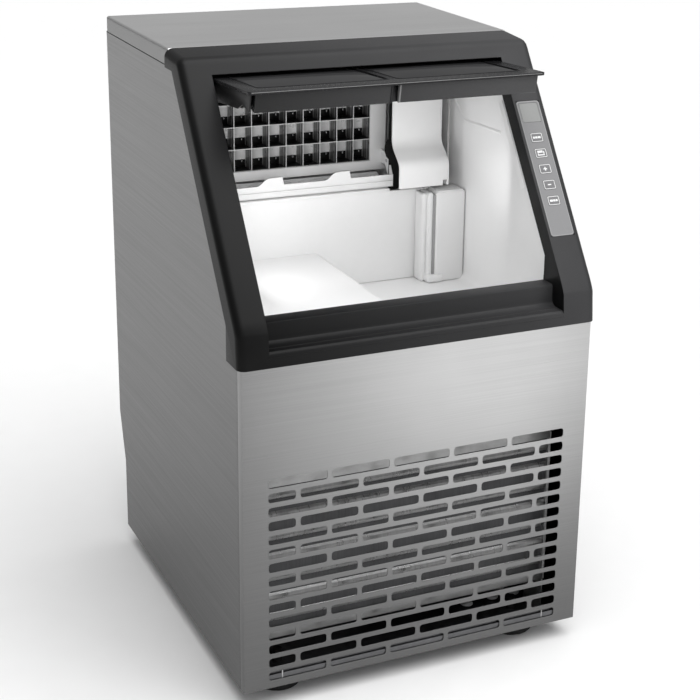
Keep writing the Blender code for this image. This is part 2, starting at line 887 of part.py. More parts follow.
def door_window():
    front, back, face = door_shape()
    top = face - DOOR_PLATE - SEAM
    half = DOOR_HALF - DOOR_RIM + WINDOW_LAP
    window = box(
        "door_window",
        (-half, front + DOOR_HANDLE_RIM - WINDOW_LAP, top - WINDOW_THICK),
        (half, back - DOOR_RIM + WINDOW_LAP, top),
        smoked(),
    )
    on_door(window)


def guide_pins():
    """Headed pins through the door's side walls, running in the tracks."""
    inner = DOOR_HALF - DOOR_WALL_INSET - DOOR_WALL
    tip = OPENING_WIDTH / 2 + TRACK_DEPTH - SEAM
    length = tip - inner
    head = 0.0015
    profile = [
        (0, length),
        (PIN_RADIUS - 0.0004, length),
        (PIN_RADIUS, length - 0.0004),
        (PIN_RADIUS, -SEAM),
        (PIN_HEAD_RADIUS, -SEAM),
        (PIN_HEAD_RADIUS, -SEAM - head),
        (0, -SEAM - head),
    ]
    right = turned("guide_pin_right", profile, tin(), (OPENING_MIDDLE + inner, *PIN_OPEN), "x", 16)
    left = turned("guide_pin_left", profile, tin(), (OPENING_MIDDLE - inner, *PIN_OPEN), "x", 16)
    right.rotation_euler = (0, math.pi / 2, 0)
    left.rotation_euler = (0, -math.pi / 2, 0)


def door_tracks():
    """Grooved strips on top of the bin walls, in which the guide pins run level."""
    middle = PIN_OPEN[1]
    low = LINER_TOP + SEAM
    high = low + TRACK_HEIGHT
    end = PIN_OPEN[0] + TRACK_END_SPARE
    slot = PIN_RADIUS + PIN_CLEARANCE
    for name, wall, side in (("door_track_left", OPENING_LEFT, -1), ("door_track_right", OPENING_RIGHT, 1)):
        far = wall + side * (TRACK_DEPTH + TRACK_WALL)
        bottom = wall + side * TRACK_DEPTH
        near = wall - side * 0.01
        strip = box(name, (min(wall, far), TRACK_START, low), (max(wall, far), end, high), white_plastic())
        groove = box(
            name + "_groove",
            (min(near, bottom), TRACK_START - 0.01, middle - slot),
            (max(near, bottom), PIN_OPEN[0] + slot, middle + slot),
        )
        cut(strip, groove)


# Ice bin


def bin_liner():
    low = BIN_FLOOR - LINER_WALL
    front = LINER_FRONT - LINER_WALL
    back = LINER_BACK + LINER_WALL
    reach = RETURN_REACH + SEAM
    under_sill = SILL_HEIGHT - BEZEL_WALL - SEAM
    shell = [
        (front, low),
        (back, low),
        (back, LINER_TOP),
        slope_at_height(LINER_TOP, reach),
        slope_at_depth(SILL_BACK + SEAM, reach),
        (SILL_BACK + SEAM, under_sill),
        (front, under_sill),
    ]
    liner = outline(
        "bin_liner", shell, OPENING_LEFT - LINER_WALL, OPENING_RIGHT + LINER_WALL, white_plastic()
    )
    room = [
        (LINER_FRONT, BIN_FLOOR),
        (LINER_BACK, BIN_FLOOR),
        (LINER_BACK, LINER_TOP + 0.05),
        (front - 0.02, LINER_TOP + 0.05),
        (front - 0.02, under_sill + 0.0005),
        (LINER_FRONT, under_sill + 0.0005),
    ]
    cut(liner, outline("liner_room", room, OPENING_LEFT, OPENING_RIGHT))
    foot = RAISED_EDGE + STEP_RUN
    wall = LINER_WALL
    step = [
        (OPENING_LEFT - wall / 2, low + wall / 2),
        (foot, low + wall / 2),
        (RAISED_EDGE, RAISED_FLOOR),
        (OPENING_LEFT - wall / 2, RAISED_FLOOR),
    ]
    hollow = [
        (OPENING_LEFT + wall, low - 0.01),
        (foot - wall, low - 0.01),
        (foot - 2 * wall, low + wall),
        (RAISED_EDGE - wall / 2, RAISED_FLOOR - wall),
        (OPENING_LEFT + wall, RAISED_FLOOR - wall),
    ]
    deep = TANK_FRONT - SEAM
    join(liner, outline("raised_floor", step, LINER_FRONT - wall / 2, deep, None, "y"))
    cut(liner, outline("raised_floor_hollow", hollow, LINER_FRONT + wall, deep - wall, None, "y"))
    for height in coil_end_heights():
        x, depth = coil_end(height)
        reach = COIL_RADIUS + 0.001
        profile = [(0, 0.02), (reach, 0.02), (reach, -0.02), (0, -0.02)]
        name = "coil_hole_%d" % round(height * 1000)
        cut(liner, turned(name, profile, None, (x, LINER_BACK, height), "y", 12))


def wall_foam():
    low = FOAM_LOW
    high = LINER_TOP - 0.004
    inward_by = BEZEL_FLANGE + 0.004
    shape = [
        (FOAM_FRONT, low),
        (LINER_BACK, low),
        (LINER_BACK, high),
        slope_at_height(high, inward_by),
        slope_at_depth(FOAM_FRONT, inward_by),
    ]
    side = HALF_WIDTH - SHEET - SEAM
    outline("foam_left", shape, -side, OPENING_LEFT - LINER_WALL - SEAM, foam())
    outline("foam_right", shape, OPENING_RIGHT + LINER_WALL + SEAM, side, foam())


# Water tank


def water_tank():
    side = 0.001
    left = OPENING_LEFT + side
    right = OPENING_RIGHT - side
    low = BIN_FLOOR + SEAM
    tank = box("water_tank", (left, TANK_FRONT, low), (right, TANK_BACK, TANK_HEIGHT), white_plastic())
    room = box(
        "water_tank_room",
        (left + TANK_WALL, TANK_FRONT + TANK_WALL, low + TANK_WALL),
        (right - TANK_WALL, TANK_BACK - TANK_WALL, TANK_HEIGHT + 0.02),
    )
    cut(tank, room)


def pump_housing():
    """The cover that stands in front of the tank at its right end, open to the back and below."""
    right = OPENING_RIGHT - 0.001
    low = BIN_FLOOR + SEAM
    back = TANK_FRONT - SEAM
    start = (HOUSING_LEFT, HOUSING_FRONT, low)
    shell = box("pump_housing", start, (right, back, TANK_HEIGHT), white_plastic())
    room = box(
        "pump_housing_room",
        (HOUSING_LEFT + TANK_WALL, HOUSING_FRONT + TANK_WALL, low - 0.01),
        (right - TANK_WALL, back + 0.01, TANK_HEIGHT - TANK_WALL),
    )
    cut(shell, room)


def upper_cover():
    """The stepped white cover over the pump and the water line."""
    high_front = COVER_FRONT + COVER_STEP_BACK
    low = TANK_HEIGHT + 0.0065
    face = [
        (COVER_FRONT, low),
        (COVER_FRONT, COVER_STEP_LOW),
        (high_front, COVER_STEP_HIGH),
        (high_front, COVER_TOP),
    ]
    shape = face + [(COVER_BACK, COVER_TOP), (COVER_BACK, low)]
    shell = outline("upper_cover", shape, COVER_LEFT, COVER_RIGHT, white_plastic())
    inner = inward(face, COVER_WALL)
    inner[0] = (inner[0][0], low - 0.01)
    inner[-1] = (inner[-1][0], COVER_TOP - COVER_WALL)
    room = inner + [(COVER_BACK + 0.01, COVER_TOP - COVER_WALL), (COVER_BACK + 0.01, low - 0.01)]
    cut(shell, outline("upper_cover_room", room, COVER_LEFT - 0.01, COVER_RIGHT - COVER_WALL))


def circulation_pump():
    top = TANK_HEIGHT + 0.070
    can = TANK_HEIGHT + 0.008
    low = BIN_FLOOR + 0.012
    volute = low + 0.022
    profile = [
        (0, top),
        (PUMP_CAN_RADIUS - 0.002, top),
        (PUMP_CAN_RADIUS, top - 0.002),
        (PUMP_CAN_RADIUS, can),
        (0.007, can),
        (0.007, volute),
        (VOLUTE_RADIUS, volute),
        (VOLUTE_RADIUS, low),
        (VOLUTE_RADIUS - 0.003, low),
        (VOLUTE_RADIUS - 0.003, volute - 0.003),
        (0, volute - 0.003),
    ]
    turned("circulation_pump", profile, black_plastic(), (PUMP_X, PUMP_DEPTH, 0), steps=24)
    hub = [
        (0, volute - 0.004),
        (0.004, volute - 0.004),
        (0.005, low + 0.008),
        (IMPELLER_RADIUS, low + 0.006),
        (IMPELLER_RADIUS, low + 0.004),
        (0, low + 0.004),
    ]
    impeller = turned("pump_impeller", hub, white_plastic(), (PUMP_X, PUMP_DEPTH, 0), steps=20)
    for i in range(4):
        vane = box(
            "impeller_vane_%d" % i,
            (0.002, -0.0008, low + 0.0055),
            (IMPELLER_RADIUS - 0.001, 0.0008, low + 0.014),
        )
        turn = Matrix.Rotation(i * math.pi / 2, 3, "Z")
        vane.location = turn @ vane.location + Vector((PUMP_X, PUMP_DEPTH, 0))
        vane.rotation_euler = (0, 0, i * math.pi / 2)
        join(impeller, vane)


def riser_path():
    x = PUMP_X - VOLUTE_RADIUS - 0.013
    low = BIN_FLOOR + 0.024
    high = spray_height()
    depth = PUMP_DEPTH
    return [
        (PUMP_X - VOLUTE_RADIUS - SEAM, depth, low),
        (x, depth, low),
        (x, depth, high),
        (spray_right() + SEAM, depth, high),
    ]


def water_riser():
    tube("water_riser", riser_path(), 0.0045, 0.006, white_plastic())


def float_switch():
    low = BIN_FLOOR + SEAM + TANK_WALL + 0.010
    top = TANK_HEIGHT + 0.004
    stem = [
        (0, top),
        (0.008, top),
        (0.008, top - 0.004),
        (FLOAT_STEM_RADIUS, top - 0.004),
        (FLOAT_STEM_RADIUS, low + 0.003),
        (0.006, low + 0.003),
        (0.006, low),
        (0, low),
    ]
    turned("float_stem", stem, white_plastic(), (FLOAT_X, FLOAT_DEPTH, 0), steps=16)
    base = low + 0.003 + SEAM
    crown = base + (top - 0.004 - base) / 4
    bore = FLOAT_STEM_RADIUS + 0.0006
    body = [
        (FLOAT_RADIUS - 0.002, crown),
        (FLOAT_RADIUS, crown - 0.002),
        (FLOAT_RADIUS, base + 0.002),
        (FLOAT_RADIUS - 0.002, base),
        (bore, base),
        (bore, crown),
    ]
    turned("float_body", body, white_plastic(), (FLOAT_X, FLOAT_DEPTH, 0), steps=20, ring=True)


# Evaporator


def grid_left():
    return GRID_RIGHT - CELL_COLUMNS * CELL_WIDTH


def grid_top():
    return GRID_LOW + CELL_ROWS * CELL_HEIGHT


def evaporator_surround():
    left = grid_left()
    top = grid_top()
    back = SURROUND_FRONT + SURROUND_THICK
    frame = box(
        "evaporator_surround",
        (left - SURROUND_SIDE, SURROUND_FRONT, GRID_LOW - SURROUND_LOW),
        (GRID_RIGHT + SURROUND_SIDE, back, top + SURROUND_TOP),
        white_plastic(),
    )
    hole = box(
        "evaporator_hole",
        (left - SEAM, SURROUND_FRONT - 0.01, GRID_LOW - SEAM),
        (GRID_RIGHT + SEAM, back + 0.01, top + SEAM),
    )
    cut(frame, hole)
    lug_front = FLAP_AXIS_DEPTH - 0.006
    pin_hole = FLAP_PIN_RADIUS + SEAM
    for side, x in lug_places():
        lug = [
            (SURROUND_FRONT + 0.002, FLAP_AXIS_HEIGHT - 0.007),
            (SURROUND_FRONT + 0.002, FLAP_AXIS_HEIGHT + 0.009),
            (FLAP_AXIS_DEPTH, FLAP_AXIS_HEIGHT + 0.006),
            (lug_front, FLAP_AXIS_HEIGHT + 0.003),
            (lug_front, FLAP_AXIS_HEIGHT - 0.003),
            (FLAP_AXIS_DEPTH, FLAP_AXIS_HEIGHT - 0.006),
        ]
        join(frame, outline("lug_" + side, lug, x - FLAP_ARM / 2, x + FLAP_ARM / 2))
        profile = [(0, 0.004), (pin_hole, 0.004), (pin_hole, -0.004), (0, -0.004)]
        place = (x, FLAP_AXIS_DEPTH, FLAP_AXIS_HEIGHT)
        cut(frame, turned("lug_hole_" + side, profile, None, place, "x", 12))


def lug_places():
    inset = 0.004
    return [
        ("left", grid_left() - SURROUND_SIDE + inset),
        ("right", GRID_RIGHT + SURROUND_SIDE - inset),
    ]


def evaporator_grid():
    """The freezing plate: a block of open cells with thin walls."""
    left = grid_left()
    back = SURROUND_FRONT + 0.001 + CELL_DEPTH + CELL_BACK
    grid = box(
        "evaporator_grid",
        (left, SURROUND_FRONT + 0.001, GRID_LOW),
        (GRID_RIGHT, back, grid_top()),
        tin(),
    )
    wall = CELL_WALL / 2
    cells = []
    for column in range(CELL_COLUMNS):
        for row in range(CELL_ROWS):
            x = left + column * CELL_WIDTH
            z = GRID_LOW + row * CELL_HEIGHT
            low = (x + wall, SURROUND_FRONT - 0.01, z + wall)
            high = (x + CELL_WIDTH - wall, back - CELL_BACK, z + CELL_HEIGHT - wall)
            cells.append((low, high))
    cut(grid, merged("cells", cells))


def coil_depth():
    return SURROUND_FRONT + 0.001 + CELL_DEPTH + CELL_BACK + COIL_RADIUS + SEAM


def coil_end_heights():
    return (GRID_LOW + CELL_HEIGHT / 2, GRID_LOW + (CELL_ROWS - 0.5) * CELL_HEIGHT)


def coil_end(height):
    """(x, depth) at which the tube that meets the coil at this height passes the liner."""
    return grid_left() - 0.006, coil_depth()


def evaporator_coil():
    """The refrigerant coil that runs back and forth behind the cells, one run to a row."""
    depth = coil_depth()
    left = grid_left() + 0.012
    right = GRID_RIGHT - 0.004
    start = grid_left() - 0.006
    corners = [(start + COIL_RADIUS + 0.0005, depth, coil_end_heights()[0])]
    for row in range(CELL_ROWS):
        height = GRID_LOW + (row + 0.5) * CELL_HEIGHT
        if row % 2 == 0:
            near, far = left, right
        else:
            near, far = right, left
        if row:
            corners.append((near, depth, height))
        last = row == CELL_ROWS - 1
        corners.append((start + COIL_RADIUS + 0.0005, depth, height) if last else (far, depth, height))
    tube("evaporator_coil", corners, COIL_RADIUS, 0.009, copper())


def spray_height():
    return grid_top() + SURROUND_TOP + SPRAY_RADIUS + 0.0012


def spray_right():
    return GRID_RIGHT + 0.012


def water_distributor():
    """The tube along the top of the cells that lets the water run down over them."""
    length = spray_right() - grid_left() + 0.006
    profile = [
        (0, length),
        (SPRAY_RADIUS - 0.001, length),
        (SPRAY_RADIUS, length - 0.001),
        (SPRAY_RADIUS, 0.001),
        (SPRAY_RADIUS - 0.001, 0),
        (0, 0),
    ]
    place = (grid_left() - 0.006, PUMP_DEPTH, spray_height())
    turned("water_distributor", profile, white_plastic(), place, "x", 16)


def ice_slide():
    """The sloping slotted plate that lets water down into the tank and sends ice forward."""
    left = OPENING_LEFT + 0.005
    right = COVER_LEFT - 0.002
    front = FLAP_FRONT + FLAP_THICK + 0.0015
    back = SURROUND_FRONT - 0.0025
    low = TANK_HEIGHT + 0.0008
    rise = 0.0110
    thick = 0.0018
    shape = [(front, low), (back, low + rise), (back, low + rise + thick), (front, low + thick)]
    slide = outline("ice_slide", shape, left, right, white_plastic())
    slots = []
    count = 16
    pitch = (right - left) / count
    for i in range(count):
        x = left + (i + 0.5) * pitch
        slots.append(((x - 0.003, front + 0.005, low - 0.01), (x + 0.003, back - 0.005, low + 0.03)))
    cut(slide, merged("slide_slots", slots))


# Ice flap


def flap_ends():
    (_, left), (_, right) = lug_places()
    step = FLAP_ARM / 2 + SEAM
    return left + step, right - step


def flap_outline():
    """The flap's front view: a long strip with two wave-shaped tabs on its upper edge."""
    left, right = flap_ends()
    edge = [(left, FLAP_LOW), (right, FLAP_LOW), (right, FLAP_TOP)]
    rise = FLAP_TAB_TOP - FLAP_TOP
    for place in FLAP_TAB_PLACES:
        tab_right = left + place * (right - left)
        edge.append((tab_right + 0.001, FLAP_TOP))
        edge.append((tab_right - 0.001, FLAP_TAB_TOP))
        edge.append((tab_right - FLAP_TAB_WIDTH, FLAP_TAB_TOP - rise * 0.05))
        for i in range(1, 6):
            swing = i / 5
            x = tab_right - FLAP_TAB_WIDTH - swing * FLAP_TAB_SWEEP
            edge.append((x, FLAP_TOP + rise * 0.95 * 0.5 * (1 + math.cos(math.pi * swing))))
    edge.append((left, FLAP_TOP))
    return edge


def ice_flap():
    left, right = flap_ends()
    back = FLAP_FRONT + FLAP_THICK
    flap = outline("ice_flap", flap_outline(), FLAP_FRONT, back, white_plastic(), "y")
    rib = box(
        "flap_rib",
        (left + 0.001, FLAP_FRONT - 0.002, FLAP_LOW + 0.0050),
        (right - 0.001, FLAP_FRONT + 0.001, FLAP_LOW + 0.0068),
    )
    join(flap, rib)
    boss = FLAP_BOSS_RADIUS
    pin_hole = FLAP_PIN_RADIUS + SEAM
    arm = [
        (FLAP_FRONT + 0.0005, FLAP_LOW + 0.001),
        (back + 0.002, FLAP_LOW + 0.001),
        (FLAP_AXIS_DEPTH + boss, FLAP_AXIS_HEIGHT - 0.003),
        (FLAP_AXIS_DEPTH + boss, FLAP_AXIS_HEIGHT + 0.003),
        (FLAP_AXIS_DEPTH + 0.002, FLAP_AXIS_HEIGHT + boss),
        (FLAP_AXIS_DEPTH - 0.003, FLAP_AXIS_HEIGHT + boss),
        (FLAP_FRONT + 0.0005, FLAP_TOP - 0.001),
    ]
    for side, low, high in (("left", left, left + FLAP_ARM), ("right", right - FLAP_ARM, right)):
        join(flap, outline("flap_arm_" + side, arm, low, high))
        profile = [(0, 0.006), (pin_hole, 0.006), (pin_hole, -0.006), (0, -0.006)]
        place = ((low + high) / 2, FLAP_AXIS_DEPTH, FLAP_AXIS_HEIGHT)
        cut(flap, turned("flap_hole_" + side, profile, None, place, "x", 12))


def flap_pins():
    left, right = flap_ends()
    length = 2 * FLAP_ARM + 0.0012
    profile = [(0, length), (FLAP_PIN_RADIUS, length), (FLAP_PIN_RADIUS, 0), (0, 0)]
    starts = (
        ("flap_pin_left", left + FLAP_ARM + SEAM - length),
        ("flap_pin_right", right - FLAP_ARM - SEAM),
    )
    for name, x in starts:
        turned(name, profile, tin(), (x, FLAP_AXIS_DEPTH, FLAP_AXIS_HEIGHT), "x", 12)


def ice_sensor():
    """The black switch housing beside the flap's right pivot."""
    left = GRID_RIGHT + SURROUND_SIDE + 0.003
    box(
        "ice_sensor",
        (left, FLAP_AXIS_DEPTH - 0.006, TANK_HEIGHT + 0.004),
        (left + 0.014, SURROUND_FRONT - 0.006, COVER_TOP - 0.006),
        black_plastic(),
        0.0015,
        1,
    )


# Machine compartment


def condenser():
    back = CONDENSER_FRONT + CONDENSER_THICK
    core = box(
        "condenser",
        (CONDENSER_LEFT, CONDENSER_FRONT, CONDENSER_LOW),
        (CONDENSER_RIGHT, back, CONDENSER_TOP),
        material("aluminium_fins", (0.6, 0.61, 0.62), 0.4, 1.0),
    )
    for side, x in (("left", CONDENSER_LEFT), ("right", CONDENSER_RIGHT - SHROUD_WALL)):
        plate = box(
            "condenser_end_" + side,
            (x, CONDENSER_FRONT - 0.002, SHEET + SEAM),
            (x + SHROUD_WALL, back - 0.001, CONDENSER_TOP + 0.004),
        )
        join(core, plate)
    hood = box(
        "condenser_hood",
        (CONDENSER_LEFT + SHROUD_WALL / 2, CONDENSER_FRONT - 0.001, CONDENSER_TOP - 0.001),
        (CONDENSER_RIGHT - SHROUD_WALL / 2, CONDENSER_FRONT + 0.001, CONDENSER_TOP + CONDENSER_HOOD),
    )
    join(core, hood)


def fan_place():
    x = (CONDENSER_LEFT + CONDENSER_RIGHT) / 2
    height = (CONDENSER_LOW + CONDENSER_TOP) / 2
    return x, height


def fan_shroud():
    front = CONDENSER_FRONT + CONDENSER_THICK + SEAM
    back = front + SHROUD_DEPTH
    left = CONDENSER_LEFT + 0.002
    right = CONDENSER_RIGHT - 0.002
    low = CONDENSER_LOW + 0.001
    shroud = box("fan_shroud", (left, front, low), (right, back, CONDENSER_TOP - 0.001), galvanised())
    wall = SHROUD_WALL
    room = box(
        "fan_shroud_room",
        (left + wall, front - 0.01, low + wall),
        (right - wall, back - wall, CONDENSER_TOP - 0.001 - wall),
    )
    x, height = fan_place()
    mouth = FAN_RADIUS + FAN_TIP_GAP
    profile = [(0, 0.02), (mouth, 0.02), (mouth, -0.02), (0, -0.02)]
    cut(shroud, room, turned("shroud_mouth", profile, None, (x, back, height), "y", 40))


def fan():
    x, height = fan_place()
    start = CONDENSER_FRONT + CONDENSER_THICK + 0.012
    hub = [
        (0, FAN_THICK),
        (FAN_HUB_RADIUS, FAN_THICK),
        (FAN_HUB_RADIUS, 0.002),
        (FAN_HUB_RADIUS - 0.002, 0),
        (0, 0),
    ]
    paint = material("fan_blades", (0.35, 0.36, 0.37), 0.35, 1.0)
    blades = turned("condenser_fan", hub, paint, (x, start, height), "y", 24)
    for i in range(FAN_BLADES):
        angle = 2 * math.pi * i / FAN_BLADES
        reach = FAN_RADIUS - FAN_HUB_RADIUS + 0.003
        blade = box("blade_%d" % i, (0, -0.0009, -0.020), (reach, 0.0009, 0.020))
        pitch = Matrix.Rotation(math.radians(22), 3, "X")
        around = Matrix.Rotation(angle, 3, "Y")
        offset = Vector(((FAN_HUB_RADIUS - 0.003) + reach / 2, FAN_THICK / 2, 0))
        blade.location = Vector((x, start, height)) + around @ offset
        blade.rotation_euler = (around @ pitch).to_euler()
        join(blades, blade)


def fan_motor():
    x, height = fan_place()
    start = CONDENSER_FRONT + CONDENSER_THICK + 0.012 + FAN_THICK + 0.0012
    profile = [
        (0, MOTOR_LENGTH),
        (MOTOR_RADIUS * 0.6, MOTOR_LENGTH),
        (MOTOR_RADIUS, MOTOR_LENGTH - 0.008),
        (MOTOR_RADIUS, 0.008),
        (MOTOR_RADIUS * 0.6, 0),
        (0, 0),
    ]
    turned("fan_motor", profile, black_paint(), (x, start, height), "y", 24)
    bracket_front = CONDENSER_FRONT + CONDENSER_THICK + SHROUD_DEPTH + 2 * SEAM
    bar_front = start + MOTOR_LENGTH + SEAM
    half = FAN_RADIUS + 0.012
    bar_back = bar_front + 0.002
    shape = [
        (x - half, bracket_front),
        (x - half + 0.002, bracket_front),
        (x - half + 0.002, bar_front),
        (x + half - 0.002, bar_front),
        (x + half - 0.002, bracket_front),
        (x + half, bracket_front),
        (x + half, bar_back),
        (x - half, bar_back),
    ]
    outline("motor_bracket", shape, height - 0.009, height + 0.009, galvanised(), "z")


def compressor():
    base = COMPRESSOR_BASE
    top = base + COMPRESSOR_HEIGHT
    radius = COMPRESSOR_RADIUS
    profile = [(0, top)]
    steps = 6
    dome = 0.035
    for i in range(1, steps + 1):
        angle = math.pi / 2 * i / steps
        profile.append((radius * math.sin(angle), top - dome + dome * math.cos(angle)))
    profile += [
        (radius, base + 0.082),
        (radius + 0.003, base + 0.080),
        (radius + 0.003, base + 0.074),
        (radius, base + 0.072),
        (radius, base + 0.020),
        (radius * 0.8, base),
        (0, base),
    ]
    turned("compressor", profile, black_paint(), (COMPRESSOR_X, COMPRESSOR_DEPTH, 0), steps=32)
    half = COMPRESSOR_RADIUS + 0.008
    box(
        "compressor_mount",
        (COMPRESSOR_X - half, COMPRESSOR_DEPTH - half, SHEET + SEAM),
        (COMPRESSOR_X + half, COMPRESSOR_DEPTH + half, base - SEAM),
        galvanised(),
        0.003,
        2,
    )


def control_box():
    """The closed box that holds the electrics."""
    box("control_box", (-0.184, 0.235, 0.060), (-0.135, 0.390, 0.200), galvanised(), 0.002, 2)


def filter_drier():
    radius = 0.0110
    profile = [
        (0, 0.100),
        (0.004, 0.100),
        (0.004, 0.092),
        (radius, 0.080),
        (radius, 0.020),
        (0.004, 0.008),
        (0.004, 0),
        (0, 0),
    ]
    turned("filter_drier", profile, copper(), (-0.040, 0.340, 0.120), steps=20)


def refrigerant_tubes():
    """Hot line from compressor to condenser, return line from the coil, and the thin feed to it."""
    high = 0.180
    gap = SEAM
    port = COMPRESSOR_BASE + 0.050
    side = COMPRESSOR_X + COMPRESSOR_RADIUS + 0.019
    run = CONDENSER_FRONT + CONDENSER_THICK - 0.014
    tube(
        "discharge_tube",
        [
            (COMPRESSOR_X + COMPRESSOR_RADIUS + 0.004, COMPRESSOR_DEPTH, port),
            (side, COMPRESSOR_DEPTH, port),
            (side, COMPRESSOR_DEPTH, high),
            (side, run, high),
            (CONDENSER_RIGHT + gap, run, high),
        ],
        0.003,
        0.008,
        copper(),
    )
    x, depth = coil_end(0)
    low, high = coil_end_heights()
    behind = LINER_BACK + LINER_WALL + 0.018
    close_behind = LINER_BACK + LINER_WALL + 0.0065
    tube(
        "suction_tube",
        [
            (x, depth, high),
            (x, behind, high),
            (x, behind, 0.250),
            (COMPRESSOR_X + 0.010, behind, 0.250),
            (COMPRESSOR_X + 0.010, behind, 0.120),
            (COMPRESSOR_X + 0.010, COMPRESSOR_DEPTH + COMPRESSOR_RADIUS + 0.004, 0.120),
        ],
        COIL_RADIUS,
        0.010,
        copper(),
    )
    tube(
        "liquid_tube",
        [
            (x, depth, low),
            (x, close_behind, low),
            (x, close_behind, 0.285),
            (-0.040, close_behind, 0.285),
            (-0.040, 0.340, 0.285),
            (-0.040, 0.340, 0.220 + gap),
        ],
        0.0028,
        0.006,
        copper(),
    )


def back_fittings():
    """Water inlet, drain spout and mains socket, all inside the back's inset foot."""
    face = CASE_DEPTH - STEP_INSET
    reach = STEP_INSET
    nipple = [
        (0, reach),
        (INLET_RADIUS - 0.002, reach),
        (INLET_RADIUS, reach - 0.002),
        (INLET_RADIUS, -0.008),
        (INLET_RADIUS + 0.004, -0.008),
        (INLET_RADIUS + 0.004, -0.014),
        (0, -0.014),
    ]
    turned("water_inlet", nipple, tin(), (INLET_X, face, FITTING_HEIGHT), "y", 24)
    box(
        "inlet_valve",
        (INLET_X - 0.018, face - 0.060, FITTING_HEIGHT - 0.018),
        (INLET_X + 0.018, face - 0.0143, FITTING_HEIGHT + 0.024),
        white_plastic(),
        0.003,
        2,
    )
    inner = DRAIN_RADIUS - 0.002
    spout = [
        (DRAIN_RADIUS, reach),
        (DRAIN_RADIUS, -0.004),
        (DRAIN_RADIUS + 0.004, -0.004),
        (DRAIN_RADIUS + 0.004, -0.008),
        (DRAIN_RADIUS, -0.008),
        (DRAIN_RADIUS, -0.030),
        (inner, -0.030),
        (inner, reach),
    ]
    turned("drain_outlet", spout, black_plastic(), (DRAIN_X, face, FITTING_HEIGHT), "y", 20, ring=True)
    half = SOCKET_WIDTH / 2
    high = SOCKET_HEIGHT / 2
    socket = box(
        "mains_socket",
        (SOCKET_X - half, face - 0.026, FITTING_HEIGHT - high),
        (SOCKET_X + half, face + 0.002, FITTING_HEIGHT + high),
        black_plastic(),
    )
    flange = box(
        "socket_flange",
        (SOCKET_X - half - 0.003, face + SEAM, FITTING_HEIGHT - high - 0.003),
        (SOCKET_X + half + 0.003, face + 0.0022, FITTING_HEIGHT + high + 0.003),
    )
    well = box(
        "socket_well",
        (SOCKET_X - 0.0125, face - 0.016, FITTING_HEIGHT - 0.0085),
        (SOCKET_X + 0.0125, face + 0.01, FITTING_HEIGHT + 0.0085),
    )
    join(socket, flange)
    cut(socket, well)


def main():
    clear_scene()
    make_collections()
    front_panel()
    side_panels()
    back_panel()
    top_cover()
    base_pan()
    feet()
    bezel()
    control_panel()
    door()
    door_window()
    guide_pins()
    door_tracks()
    bin_liner()
    wall_foam()
    water_tank()
    pump_housing()
    upper_cover()
    circulation_pump()
    water_riser()
    float_switch()
    evaporator_surround()
    evaporator_grid()
    evaporator_coil()
    water_distributor()
    ice_slide()
    ice_flap()
    flap_pins()
    ice_sensor()
    condenser()
    fan_shroud()
    fan()
    fan_motor()
    compressor()
    control_box()
    filter_drier()
    refrigerant_tubes()
    back_fittings()


main()
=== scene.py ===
"""The ice maker as a studio picture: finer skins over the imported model, finishes, light, camera."""

import json
import math

import bmesh
import bpy
from mathutils import Matrix, Vector


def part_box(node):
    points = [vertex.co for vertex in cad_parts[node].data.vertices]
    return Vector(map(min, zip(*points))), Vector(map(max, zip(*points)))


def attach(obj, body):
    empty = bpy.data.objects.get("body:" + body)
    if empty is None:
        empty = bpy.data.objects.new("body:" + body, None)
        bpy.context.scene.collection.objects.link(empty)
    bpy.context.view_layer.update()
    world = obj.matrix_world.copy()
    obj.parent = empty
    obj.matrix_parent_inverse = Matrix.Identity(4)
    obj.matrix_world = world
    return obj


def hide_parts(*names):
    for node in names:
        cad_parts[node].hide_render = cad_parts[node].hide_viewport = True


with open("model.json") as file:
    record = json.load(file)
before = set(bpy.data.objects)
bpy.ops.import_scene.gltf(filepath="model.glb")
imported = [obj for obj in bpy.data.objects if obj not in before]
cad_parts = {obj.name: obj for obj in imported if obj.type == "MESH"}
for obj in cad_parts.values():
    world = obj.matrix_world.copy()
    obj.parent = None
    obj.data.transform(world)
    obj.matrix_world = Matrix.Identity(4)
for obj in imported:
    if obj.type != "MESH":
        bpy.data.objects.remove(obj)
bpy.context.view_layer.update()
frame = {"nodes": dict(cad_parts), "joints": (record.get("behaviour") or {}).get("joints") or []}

# The case's own coordinates: x from the middle, y behind the front panel, z above the base pan.
ORIGIN = Vector((0.0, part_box("front_grille_panel")[0][1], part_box("base_pan")[0][2]))


def case_box(node):
    """A node's box in case coordinates."""
    low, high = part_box(node)
    return Vector(low) - ORIGIN, Vector(high) - ORIGIN


SLOPE = math.radians(35)
KNEE = (0.004, 0.382)
BEZEL_WALL = 0.003
frame_low, frame_high = case_box("window_frame")
HALF_WIDTH = case_box("top_cover")[1].x
BEZEL_HALF = frame_high.x
BEZEL_LOW = frame_low.z
LID_FRONT = frame_high.y
CASE_HEIGHT = frame_high.z
STRIP_DROP = 0.0032
SLOPE_LENGTH = (CASE_HEIGHT - STRIP_DROP - KNEE[1]) / math.cos(SLOPE)
OPENING_TOP = SLOPE_LENGTH - 0.0185
OPENING_LEFT = case_box("bin_liner")[0].x + 0.0025
OPENING_RIGHT = case_box("bin_liner")[1].x - 0.0025
SILL_HEIGHT = 0.3785
SILL_FRONT = 0.0225
SILL_BACK = 0.0415
LEDGE_HEIGHT = 0.3570
SEAM = 0.0003


def slope_point(along, inward=0.0):
    depth = KNEE[0] + along * math.sin(SLOPE) + inward * math.cos(SLOPE)
    height = KNEE[1] + along * math.cos(SLOPE) - inward * math.sin(SLOPE)
    return depth, height


def slope_at_depth(depth, inward):
    along = (depth - KNEE[0] - inward * math.cos(SLOPE)) / math.sin(SLOPE)
    return slope_point(along, inward)


